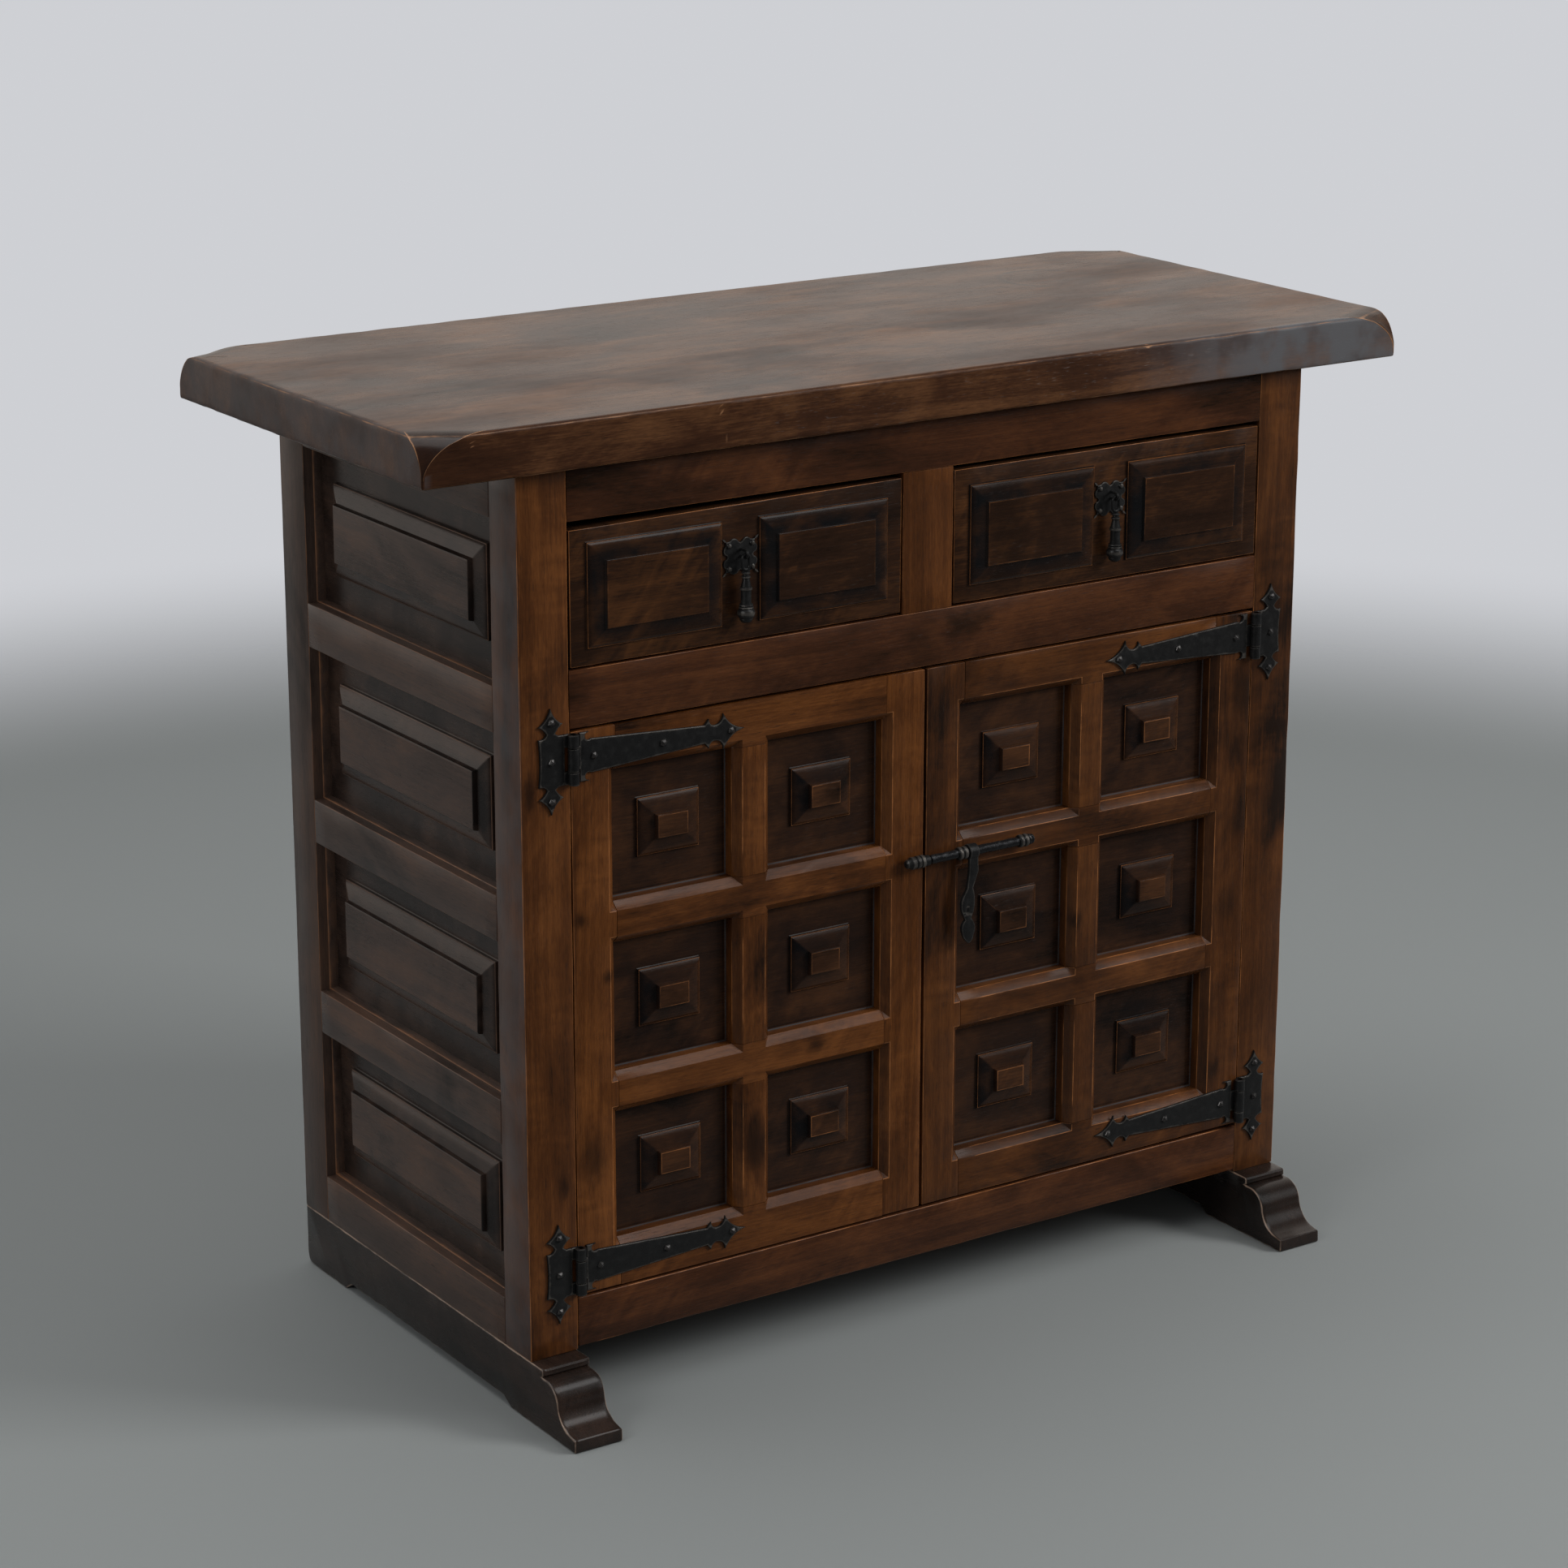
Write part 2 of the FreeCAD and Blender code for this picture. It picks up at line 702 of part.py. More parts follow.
def sled(side, hand):
    """A foot that runs from the rear of the case to the scrolled toe, hollowed a little between its pads."""
    deep, tall, bend = cell.case_depth, cell.sled_height, cell.sled_rear_round
    steps = scaled(toe_shares, cell.toe_reach, tall)
    steps += [
        (deep * front_pad_share, 0),
        (deep * (front_pad_share + relief_run_share), tall * relief_share),
        (deep * (rear_pad_share - relief_run_share), tall * relief_share),
        (deep * rear_pad_share, 0),
        (deep - bend, 0),
        (deep - bend * (1 - eighth_turn_share), bend * (1 - eighth_turn_share), deep, bend),
        (deep, tall),
    ]
    edge = hand * cell.case_width / 2 if hand < 0 else post_inset
    body = padded("Sled", "YZ_Plane", steps, cell.post_width, (edge, front, 0))
    spots = post_screw_spots(hand)
    shanks = upright_cylinders(spots, cell.screw_shank_radius + cell.hole_clearance, 0, tall)
    recesses = upright_cylinders(spots, cell.screw_head_radius + cell.fit_gap, 0, cell.screw_recess)
    keep(f"sled_{side}", cut("DrilledSled", body, fuse("SledHoles", [shanks, recesses])))


# Strap hinges: outlines as shares of the leaf's width and height, measured from its centre line
strap_half_shares = [
    (0.045, 0.5),
    (0.1, 0.5),
    (0.078, 0.37, 0.11, 0.35),
    (0.765, 0.19),
    (0.79, 0.31),
    (0.8, 0.2, 0.83, 0.16),
    (0.86, 0.22, 0.875, 0.375),
    (0.92, 0.14, 1, 0),
]
neck_share = 0.3
leaf_shares = [
    (0.17, 0.262),
    (0.27, 0.3, 0.48, 0.345),
    (0.17, 0.41, 0, 0.5),
    (-0.17, 0.41, -0.5, 0.34),
    (-0.27, 0.3, -0.17, 0.262),
    (-0.26, 0.235, -0.5, 0.225),
    (-0.44, 0, -0.5, -0.225),
    (-0.26, -0.235, -0.17, -0.262),
    (-0.27, -0.3, -0.5, -0.34),
    (-0.17, -0.41, 0, -0.5),
    (0.17, -0.41, 0.48, -0.345),
    (0.27, -0.3, 0.17, -0.262),
    (0.3, -0.2375),
]


def mirrored(shares):
    """The rest of an outline that is the same above and below its centre line."""
    steps = []
    for index in range(len(shares) - 1, 0, -1):
        corner = shares[index - 1][-2:]
        step = shares[index]
        middle = (step[0], -step[1]) if len(step) == 4 else ()
        steps.append((*middle, corner[0], -corner[1]))
    return steps


def hinge_spots(hand, level):
    """Nail places of one hinge: three on the jamb leaf and three on the strap."""
    jamb = hand * (hinge_line + cell.jamb_leaf_centre)
    rise = cell.jamb_leaf_height / 2 - cell.jamb_nail_from_end
    first, last = cell.strap_first_nail, cell.strap_length - cell.strap_last_nail
    straps = [hand * (hinge_line - reach) for reach in (first, (first + last) / 2, last)]
    return [(jamb, level + step * rise) for step in (-1, 0, 1)], [(x, level) for x in straps]


def knuckle(level, low, high, hand):
    """A piece of a hinge barrel, between two heights above the hinge's centre."""
    start = (hand * hinge_line, hinge_depth, level + low)
    return cylinder("Knuckle", cell.barrel_radius, start, (0, 0, 1), high - low)


def web(level, low, high, hand, reach):
    """The flat of a leaf that runs under the barrel to the axis."""
    return box("Web", (hand * hinge_line, front, level + low),
               (hand * (hinge_line + reach), front - cell.leaf_thickness, level + high))


def hinge(hand, level):
    """Both leaves of one hinge, drilled for its pin and nails: (jamb leaf, strap leaf)."""
    half, end = cell.barrel_length / 2, cell.end_knuckle
    middle = half - end - cell.knuckle_gap
    jamb_spots, strap_spots = hinge_spots(hand, level)
    turn = (FreeCAD.Vector(0, 1, 0), 0 if hand < 0 else 180)
    back_turn = (FreeCAD.Vector(0, 1, 0), 180 if hand < 0 else 0)
    axis_x = hand * hinge_line
    bore_radius = cell.pin_radius + cell.hole_clearance
    bore = cylinder("Bore", bore_radius, (axis_x, hinge_depth, level - half), (0, 0, 1), cell.barrel_length)

    centre, wide, tall = cell.jamb_leaf_centre, cell.jamb_leaf_width, cell.jamb_leaf_height
    steps = [(cell.leaf_inner_edge, -half), (cell.leaf_inner_edge, half), (centre - wide * neck_share, half)]
    for step in leaf_shares:
        steps.append(tuple(
            centre - share * wide if index % 2 == 0 else share * tall for index, share in enumerate(step)
        ))
    jamb = padded("JambPlate", "XZ_Plane", steps, cell.leaf_thickness, (axis_x, front, level), back_turn)
    jamb_parts = [jamb]
    for low, high in ((-half, end - half), (half - end, half)):
        jamb_parts += [knuckle(level, low, high, hand), web(level, low, high, hand, cell.leaf_inner_edge)]
    nails = holes(jamb_spots, cell.nail_radius + cell.hole_clearance, front, cell.leaf_thickness, (0, -1, 0))
    jamb_leaf = cut("JambLeaf", fuse("JambBlank", jamb_parts), fuse("JambCuts", [bore, nails]))

    long, high = cell.strap_length, cell.strap_height
    strap_steps = scaled(strap_half_shares + mirrored(strap_half_shares), long, high)
    strap = padded("StrapPlate", "XZ_Plane", strap_steps, cell.leaf_thickness, (axis_x, front, level), turn)
    strap_web = web(level, -middle, middle, hand, -cell.strap_root)
    strap_parts = [strap, knuckle(level, -middle, middle, hand), strap_web]
    nails = holes(strap_spots, cell.nail_radius + cell.hole_clearance, front, cell.leaf_thickness, (0, -1, 0))
    strap_leaf = cut("StrapLeaf", fuse("StrapBlank", strap_parts), fuse("StrapCuts", [bore, nails]))
    return jamb_leaf, strap_leaf


def hinge_set():
    """All the hinge pieces, and the places of the nails: they are shared by the posts and the doors."""
    jamb_leaves, pins = [], []
    straps = {"left": [], "right": []}
    jamb_spots = {"left": [], "right": []}
    strap_spots = {"left": [], "right": []}
    for side, hand in hands.items():
        for level in hinge_levels.values():
            jamb_leaf, strap_leaf = hinge(hand, level)
            jamb_leaves.append(jamb_leaf)
            straps[side].append(strap_leaf)
            on_jamb, on_strap = hinge_spots(hand, level)
            jamb_spots[side] += on_jamb
            strap_spots[side] += on_strap
            start = (hand * hinge_line, hinge_depth, level - cell.barrel_length / 2)
            pins.append(cylinder("Pin", cell.pin_radius, start, (0, 0, 1), cell.barrel_length))
    keep("hinge_jamb_leaves", group("JambLeaves", jamb_leaves))
    keep("hinge_pins", group("Pins", pins))
    face = front - cell.leaf_thickness
    length = cell.nail_length + cell.leaf_thickness
    nail = (cell.nail_radius, cell.nail_head_radius, cell.nail_head_height, length)
    both_sides = jamb_spots["left"] + jamb_spots["right"]
    keep("hinge_jamb_nails", group("JambNails", nail_heads(both_sides, face, *nail)))
    for side in hands:
        keep(f"{side}_door_straps", group("Straps", straps[side]))
        keep(f"{side}_door_strap_nails", group("StrapNails", nail_heads(strap_spots[side], face, *nail)))
    return jamb_spots, strap_spots


# Doors
def door(side, hand, strap_spots, bolt_spots):
    """Stiles, rails, muntins and raised panels of one door, all between its two edges."""
    outer = hand * (post_inset - cell.door_side_gap)
    meeting = middle_line + hand * cell.door_meeting_gap / 2
    width = hand * (outer - meeting)
    opening = (width - cell.door_stile - cell.door_meeting_stile - cell.door_muntin) / 2
    first = outer - hand * cell.door_stile
    muntin = first - hand * opening
    second = muntin - hand * cell.door_muntin
    last = second - hand * opening
    columns = [(first, muntin), (second, last)]
    tall, lows = door_opening, door_opening_lows
    behind = front + cell.door_thickness
    recess = front + cell.door_panel_recess
    rebate, seat = cell.rebate_width, cell.rebate_width - cell.fit_gap

    cutters, panels = [], []
    for one, other in columns:
        low_x, high_x = sorted((one, other), key=number)
        for low in lows:
            high = low + tall
            centre = ((low_x + high_x) / 2, (low + high) / 2)
            hole = (high_x - low_x, tall)
            wide = tuple(length + 2 * cell.door_chamfer for length in hole)
            cutters.append(frustum("Chamfer", (centre[0], front, centre[1]), 0, wide, hole, cell.door_chamfer))
            cutters.append(box("Rebate", (low_x - rebate, recess, low - rebate),
                               (high_x + rebate, behind, high + rebate)))
            base = (cell.block_width, cell.block_height)
            flat = tuple(length - 2 * cell.block_slope for length in base)
            step_at = (centre[0], recess - cell.block_step, centre[1])
            panels.append(fuse("Panel", [
                box("Margin", (low_x - seat, recess, low - seat),
                    (high_x + seat, behind - cell.door_panel_play, high + seat)),
                frustum("Step", (centre[0], recess, centre[1]), 180, base, base, cell.block_step),
                frustum("Block", step_at, 180, base, flat, cell.block_slope_rise),
            ]))
    nails = holes(strap_spots, cell.nail_radius + cell.hole_clearance, front, cell.nail_length)
    shanks = holes(bolt_spots, cell.staple_shank_radius + cell.hole_clearance, front, cell.staple_depth)
    cutter = fuse("DoorCuts", cutters + [nails, shanks])

    stiles = [box("Stile", (outer, front, door_low), (first, behind, door_high)),
              box("Stile", (last, front, door_low), (meeting, behind, door_high))]
    edges = [door_low] + [level for low in lows for level in (low, low + tall)] + [door_high]
    levels = zip(edges[::2], edges[1::2])
    cross = [box("DoorRail", (first, front, low), (last, behind, high)) for low, high in levels]
    muntins = [box("Muntin", (muntin, front, low), (second, behind, low + tall)) for low in lows]
    keep(f"{side}_door_stiles", cut("Stiles", group("StileBlanks", stiles), cutter))
    keep(f"{side}_door_rails", cut("Rails", group("RailBlanks", cross), cutter))
    keep(f"{side}_door_muntins", cut("Muntins", group("MuntinBlanks", muntins), cutter))
    keep(f"{side}_door_panels", group("DoorPanels", panels))


# Bolt: a keeper on the left door, two staples on the right door, a bar that slides in them and its handle
bolt_level = door_opening_lows[2] - cell.door_rail / 2 + cell.bolt_above_rail
bolt_bore = cell.bolt_radius + cell.bolt_clearance
loop_bore = cell.bolt_radius + cell.loop_clearance
loop_radius = loop_bore + cell.loop_wall
ring_radius = bolt_bore + cell.staple_wall
bolt_depth = front - loop_radius - cell.loop_gap
left_edge = middle_line - cell.door_meeting_gap / 2
right_edge = middle_line + cell.door_meeting_gap / 2
staple_starts = [right_edge + cell.first_staple_inset, right_edge + cell.second_staple_inset]
collar_start = left_edge - cell.keeper_inset
keeper_shank_x = collar_start - cell.keeper_length / 2
staple_shank_xs = [start + cell.staple_length / 2 for start in staple_starts]


def staple_shank(x):
    """The prong of a staple, from its ring into the wood."""
    start = bolt_depth + (bolt_bore + ring_radius) / 2
    length = front + cell.staple_depth - start
    return cylinder("Prong", cell.staple_shank_radius, (x, start, bolt_level), (0, 1, 0), length)


def bolt_fittings():
    along = (1, 0, 0)
    back_along = (-1, 0, 0)
    mouth = (left_edge, bolt_depth, bolt_level)
    sleeve_radius = bolt_bore + cell.keeper_sleeve_wall
    keeper = fuse("KeeperBlank", [
        cylinder("Sleeve", sleeve_radius, mouth, back_along, cell.keeper_inset),
        cylinder("Collar", ring_radius, (collar_start, bolt_depth, bolt_level), back_along, cell.keeper_length),
        cone("Knob", sleeve_radius, cell.knob_radius,
             (collar_start - cell.keeper_length, bolt_depth, bolt_level), back_along, cell.knob_length),
        staple_shank(keeper_shank_x),
    ])
    depth = cell.keeper_inset + cell.keeper_length - cell.keeper_end_wall
    keep("bolt_keeper", cut("Keeper", keeper, cylinder("Bore", bolt_bore, mouth, back_along, depth)))

    rings = []
    for start, shank_x in zip(staple_starts, staple_shank_xs):
        ring = cylinder("Ring", ring_radius, (start, bolt_depth, bolt_level), along, cell.staple_length)
        hole = cylinder("Bore", bolt_bore, (start, bolt_depth, bolt_level), along, cell.staple_length)
        rings.append(cut("Staple", fuse("StapleBlank", [ring, staple_shank(shank_x)]), hole))
    keep("bolt_staples", group("Staples", rings))

    tip = left_edge + cell.bolt_tip_gap
    button = staple_starts[1] + cell.staple_length + cell.staple_play
    bar = fuse("Bar", [
        cylinder("Rod", cell.bolt_radius, (tip, bolt_depth, bolt_level), along, button - tip),
        cone("Button", cell.bolt_radius + cell.button_lip, cell.bolt_radius,
             (button, bolt_depth, bolt_level), along, cell.button_length),
    ])
    keep("bolt_bar", bar)


# The handle hangs from a loop on the bar; the outline runs down its right side and up its left,
# as shares of the handle's width and drop
handle_shares = [
    (0.33, 0),
    (0.38, -0.21),
    (-0.02, -0.39),
    (0.12, -0.52, 0.02, -0.66),
    (-0.13, -0.725),
    (0.16, -0.82, 0.04, -0.92),
    (-0.14, -0.985, -0.3, -1),
    (-0.62, -0.955, -0.81, -0.88),
    (-0.88, -0.82, -0.62, -0.735),
    (-0.82, -0.66),
    (-0.93, -0.56, -0.68, -0.44),
    (-0.5, -0.39),
    (-0.36, -0.21),
    (-0.33, 0),
]
slot_place_shares = (-0.42, -0.63)


def bolt_handle():
    start = staple_starts[0] + cell.staple_length + cell.staple_play
    centre = start + cell.loop_width / 2
    face = bolt_depth + cell.handle_thickness - cell.handle_front
    steps = scaled(handle_shares, cell.handle_width, cell.handle_drop)
    leaf = padded("HandleLeaf", "XZ_Plane", steps, cell.handle_thickness, (centre, face, bolt_level))
    loop = cylinder("Loop", loop_radius, (start, bolt_depth, bolt_level), (1, 0, 0), cell.loop_width)
    bore = cylinder("Bore", loop_bore, (start, bolt_depth, bolt_level), (1, 0, 0), cell.loop_width)
    slot_x = centre + cell.handle_width * slot_place_shares[0]
    slot_z = bolt_level + cell.handle_drop * slot_place_shares[1]
    slot_radius = cell.handle_slot_radius
    slot = fuse("Slot", [
        cylinder("SlotEnd", slot_radius, (slot_x, face, slot_z + step * slot_radius),
                 (0, -1, 0), cell.handle_thickness)
        for step in (-1, 0, 1)
    ])
    keep("bolt_handle", cut("Handle", fuse("HandleBlank", [leaf, loop]), fuse("HandleCuts", [bore, slot])))


# Drawers and their drop pulls
# Half rings are turned from the XY plane, where they stand on the +Y side
in_side_plane = (FreeCAD.Vector(0, 1, 0), FreeCAD.Vector(0, 0, 1), FreeCAD.Vector(1, 0, 0), "ZXY")

# The drop below its eye: shares of its greatest radius and of its length from the pivot
drop_shares = [
    (0, 0.25),
    (0.4, 0.25),
    (0.46, 0.29),
    (0.5, 0.31),
    (0.6, 0.47),
    (0.69, 0.495, 0.6, 0.52),
    (0.62, 0.74),
    (0.82, 0.765, 0.8, 0.79),
    (1.04, 0.85, 0.86, 0.915),
    (0.62, 0.985, 0.4, 1),
    (0, 1),
]
plate_edge_shares = [
    (-0.5, 0.5),
    (-0.4, 0.42, -0.29, 0.44),
    (-0.16, 0.49, -0.05, 0.4),
    (0, 0.37),
    (0.05, 0.4),
    (0.16, 0.49, 0.29, 0.44),
    (0.4, 0.42, 0.5, 0.5),
]


def plate_shares():
    """The scalloped plate: one edge's shares turned four times."""
    steps = []
    for turn in range(4):
        for step in plate_edge_shares[1:]:
            pairs = [step[index:index + 2] for index in range(0, len(step), 2)]
            for _ in range(turn):
                pairs = [(y, -x) for x, y in pairs]
            steps.append(tuple(share for pair in pairs for share in pair))
    return steps


def drawer(side, low_x, high_x):
    """One drawer with its front, box, bottom and pull. Its front is flush with the case."""
    near_x, far_x = low_x + cell.drawer_side_gap, high_x - cell.drawer_side_gap
    low, high = drawer_low + cell.drawer_bottom_gap, drawer_high - cell.drawer_top_gap
    behind = front + cell.drawer_front_thickness
    centre_x, centre_z = (near_x + far_x) / 2, (low + high) / 2
    pull_z = low + cell.pull_above_bottom
    pivot = (centre_x, front - cell.drop_radius - cell.drop_gap, pull_z + cell.pull_pivot_rise)

    strip = cell.pull_plate_width + 2 * cell.pull_plate_margin
    base = ((far_x - near_x - 2 * cell.raised_inset - strip) / 2, high - low - 2 * cell.raised_end_inset)
    flat = tuple(length - 2 * cell.raised_slope for length in base)
    step_face = front - cell.raised_step
    lumber = [box("FrontBoard", (near_x, front, low), (far_x, behind, high))]
    for hand in hands.values():
        x = centre_x + hand * (base[0] + strip) / 2
        lumber.append(frustum("Step", (x, front, centre_z), 180, base, base, cell.raised_step))
        lumber.append(frustum("Raised", (x, step_face, centre_z), 180, base, flat, cell.raised_slope_rise))

    end = board_back - cell.drawer_back_gap
    wall, groove = cell.drawer_side_thickness, cell.drawer_groove
    side_high = drawer_high - cell.drawer_side_top_gap
    floor_low = drawer_low + cell.drawer_bottom_lift
    floor_corners = (
        (near_x + wall - groove, behind - groove, floor_low),
        (far_x - wall + groove, end - wall + groove, floor_low + cell.drawer_bottom_thickness),
    )
    floor = box("Floor", *floor_corners)
    walls = [
        box("Side", (near_x, behind, drawer_low), (near_x + wall, end, side_high)),
        box("Side", (far_x, behind, drawer_low), (far_x - wall, end, side_high)),
        box("BackWall", (near_x + wall, end, drawer_low + cell.drawer_bottom_lift / 2),
            (far_x - wall, end - wall, side_high)),
    ]

    wire = cell.pull_staple_wire
    bend = wire + cell.eye_wire + cell.eye_play
    legs = [(centre_x, pivot[2] + step * bend) for step in (-1, 1)]
    nail_x = cell.pull_plate_width / 2 - cell.pull_nail_inset
    nail_z = cell.pull_plate_height / 2 - cell.pull_nail_inset
    nail_spots = [
        (centre_x + across * nail_x, pull_z + up * nail_z)
        for across in hands.values() for up in hands.values()
    ]
    plate_face = front - cell.pull_plate_thickness
    leg_hole = cell.pull_plate_thickness + cell.pull_staple_depth
    nail_hole = cell.pull_plate_thickness + cell.pull_nail_length
    drilled = fuse("FrontHoles", [
        holes(legs, wire + cell.hole_clearance, plate_face, leg_hole),
        holes(nail_spots, cell.pull_nail_radius + cell.hole_clearance, plate_face, nail_hole),
    ])
    board = cut("DrawerFront", fuse("FrontBlank", lumber), fuse("FrontCuts", [drilled, floor]))
    keep(f"{side}_drawer_front", board)
    keep(f"{side}_drawer_walls", cut("DrawerWalls", group("WallBlanks", walls), floor))
    keep(f"{side}_drawer_bottom", box("DrawerBottom", *floor_corners))
    steps = scaled(plate_shares(), cell.pull_plate_width, cell.pull_plate_height)
    plate = padded("Plate", "XZ_Plane", steps, cell.pull_plate_thickness, (centre_x, front, pull_z))
    keep(f"{side}_pull_plate", cut("PullPlate", plate, drilled))
    nail = (cell.pull_nail_radius, cell.pull_nail_head_radius, cell.pull_nail_head_height, nail_hole)
    keep(f"{side}_pull_nails", group("PullNails", nail_heads(nail_spots, plate_face, *nail)))
    leg_length = front + cell.pull_staple_depth - pivot[1]
    staple = [cylinder("Leg", wire, (x, pivot[1], z), (0, 1, 0), leg_length) for x, z in legs]
    staple.append(half_ring("Bend", bend, wire, pivot, in_side_plane))
    keep(f"{side}_pull_staple", fuse("PullStaple", staple))
    drop(side, pivot)


def drop(side, pivot):
    """The hanging drop: a long eye of round wire on the staple, and a turned shaft with a bulb at its end."""
    wire = cell.eye_wire
    bend = cell.eye_width / 2 - wire
    top = pivot[2] - bend
    foot = pivot[2] + wire - cell.eye_height + wire + bend
    eye = [
        half_ring("EyeTop", bend, wire, (pivot[0], pivot[1], top), (FreeCAD.Vector(1, 0, 0), 90)),
        half_ring("EyeFoot", bend, wire, (pivot[0], pivot[1], foot), (FreeCAD.Vector(1, 0, 0), -90)),
    ]
    for hand in hands.values():
        start = (pivot[0] + hand * bend, pivot[1], foot)
        eye.append(cylinder("EyeSide", wire, start, (0, 0, 1), top - foot))
    body = doc.addObject("PartDesign::Body", "Shaft")
    steps = scaled(drop_shares, cell.drop_radius, -cell.drop_length)
    sketch = outline(body, "XZ_Plane", steps)
    turned = body.newObject("PartDesign::Revolution", "Turned")
    turned.Profile = sketch
    turned.ReferenceAxis = (sketch, ["V_Axis"])
    bind(turned, Angle=360)
    place(body, pivot)
    keep(f"{side}_drop", fuse("Drop", eye + [body]))


def build():
    jamb_spots, strap_spots = hinge_set()
    keep("top_slab", top_slab())
    post_blanks = []
    for side, hand in hands.items():
        rebates = side_frame(side, hand)
        post_blanks += posts(side, hand, rebates, jamb_spots[side])
        sled(side, hand)
    front_rails()
    back_boards()
    inner_boards(post_blanks)
    slab_fixings()
    bolt_xs = {"left": [keeper_shank_x], "right": staple_shank_xs}
    for side, hand in hands.items():
        door(side, hand, strap_spots[side], [(x, bolt_level) for x in bolt_xs[side]])
    bolt_fittings()
    bolt_handle()
    half = cell.divider_width / 2
    drawer("left", -post_inset, middle_line - half)
    drawer("right", middle_line + half, post_inset)


def check_and_write():
    """Stops on any failed object or bad shape, then writes each sub-part to its own file."""
    doc.recompute()
    for item in doc.Objects:
        if {"Invalid", "Error"} & set(item.State):
            raise RuntimeError(f"{item.Label} failed: {item.State}")
    for piece in kept:
        if piece.Shape.isNull() or not piece.Shape.isValid() or not piece.Shape.Solids:
            raise RuntimeError(f"{piece.Label} has no valid solid")
    os.makedirs("parts", exist_ok=True)
    for piece in kept:
        piece.Shape.exportStep(os.path.join("parts", piece.Label + ".step"))
    print(len(kept), "sub-parts,", sum(len(piece.Shape.Solids) for piece in kept), "solids")


build()
check_and_write()
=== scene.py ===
import math
import random
import bpy
import bmesh
from mathutils import Matrix, Vector, geometry, noise


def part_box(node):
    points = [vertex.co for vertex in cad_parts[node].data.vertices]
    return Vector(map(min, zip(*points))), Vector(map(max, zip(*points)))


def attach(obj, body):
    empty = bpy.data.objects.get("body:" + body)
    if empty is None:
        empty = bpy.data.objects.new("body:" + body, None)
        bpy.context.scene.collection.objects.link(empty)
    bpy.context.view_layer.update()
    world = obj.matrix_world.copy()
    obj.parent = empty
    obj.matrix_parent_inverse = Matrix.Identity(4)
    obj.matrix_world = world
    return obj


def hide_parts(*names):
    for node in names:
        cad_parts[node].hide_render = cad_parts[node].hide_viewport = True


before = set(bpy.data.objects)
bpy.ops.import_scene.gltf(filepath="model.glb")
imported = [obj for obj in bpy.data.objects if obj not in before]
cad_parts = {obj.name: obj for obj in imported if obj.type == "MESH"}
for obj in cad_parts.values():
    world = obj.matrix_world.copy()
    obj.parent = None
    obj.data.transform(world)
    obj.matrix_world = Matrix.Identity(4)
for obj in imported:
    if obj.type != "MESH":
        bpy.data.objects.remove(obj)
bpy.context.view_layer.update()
mm = 0.001  # shapes are worked out in millimetres

# the room: camera, light and floor
camera = {
    "place": (-1.98916, -2.93630, 1.53405),
    "right": (0.832891, -0.553436, 0.000936),
    "up": (0.160097, 0.242555, 0.956837),
    "back": (-0.529775, -0.796791, 0.290625),
    "lens": 94.23,
    "sensor": 36.0,
    "clipEnd": 60.0,
}
room = {
    "floorColour": (0.250, 0.263, 0.258),
    "floorMirrored": (0.03, 0.03, 0.03),  # the floor towards the camera, as the varnish reflects it
    "floorDim": (-0.9, 0.25),
    "floorRadius": 7.0,
    "floorFade": (2.4, 6.5),  # where the floor starts and ends fading into the pale room
    "floorSeen": (1.8, 2.9),  # the same, as the camera sees it
    "wallColour": (0.62, 0.63, 0.66),
    "wallMirrored": (0.665, 0.62, 0.575),
    "fillStrength": 0.40,
    "dimShare": 0.05,  # how bright the room is behind the camera, against the wall
}
lamps = {
    "key": {"place": (3.1, -2.7, 2.45), "size": 1.6, "power": 88.0, "mirrored": False},
    "gleam": {"place": (3.1, -2.7, 2.45), "size": 1.5, "power": 50.0},  # the share of the key that gloss shows
    "high": {"place": (0.65, -1.2, 2.35), "size": 1.1, "power": 8.5},
    "ceiling": {"place": (-0.6, 0.8, 3.6), "size": 2.4, "power": 50.0},
    "left": {"place": (-3.4, -0.8, 2.2), "size": 1.6, "power": 27.0},
}


def aimedAt(place, target=(0.0, 0.0, 0.4)):
    return (Vector(place) - Vector(target)).to_track_quat("Z", "Y").to_matrix().to_4x4()


def addObject(name, data):
    made = bpy.data.objects.new(name, data)
    bpy.context.scene.collection.objects.link(made)
    return made


def setUpRoom():
    shot = bpy.data.cameras.new("camera")
    shot.lens, shot.sensor_width = camera["lens"], camera["sensor"]
    shot.clip_end = camera["clipEnd"]
    holder = addObject("camera", shot)
    turn = Matrix([camera[part] for part in ("right", "up", "back")]).transposed().to_4x4()
    holder.matrix_world = Matrix.Translation(camera["place"]) @ turn
    bpy.context.scene.camera = holder
    for name, lamp in lamps.items():
        light = bpy.data.lights.new(name, "AREA")
        light.size, light.energy = lamp["size"], lamp["power"]
        holder = addObject(name, light)
        holder.visible_glossy = lamp.get("mirrored", True)
        holder.matrix_world = Matrix.Translation(lamp["place"]) @ aimedAt(lamp["place"])
    bpy.context.scene.view_settings.view_transform = "Standard"


# node helpers: each adds its node to the tree of the sockets that it is given
def treeOf(values):
    return next(value.id_data for value in values if isinstance(value, bpy.types.NodeSocket))


def plugIn(made, inputs):
    for name, value in inputs.items():
        if isinstance(value, bpy.types.NodeSocket):
            made.id_data.links.new(value, made.inputs[name])
        else:
            made.inputs[name].default_value = value
    return made


def addNode(tree, kind, inputs=None, **settings):
    made = tree.nodes.new("ShaderNode" + kind)
    for name, value in settings.items():
        setattr(made, name, value)
    return plugIn(made, inputs or {})


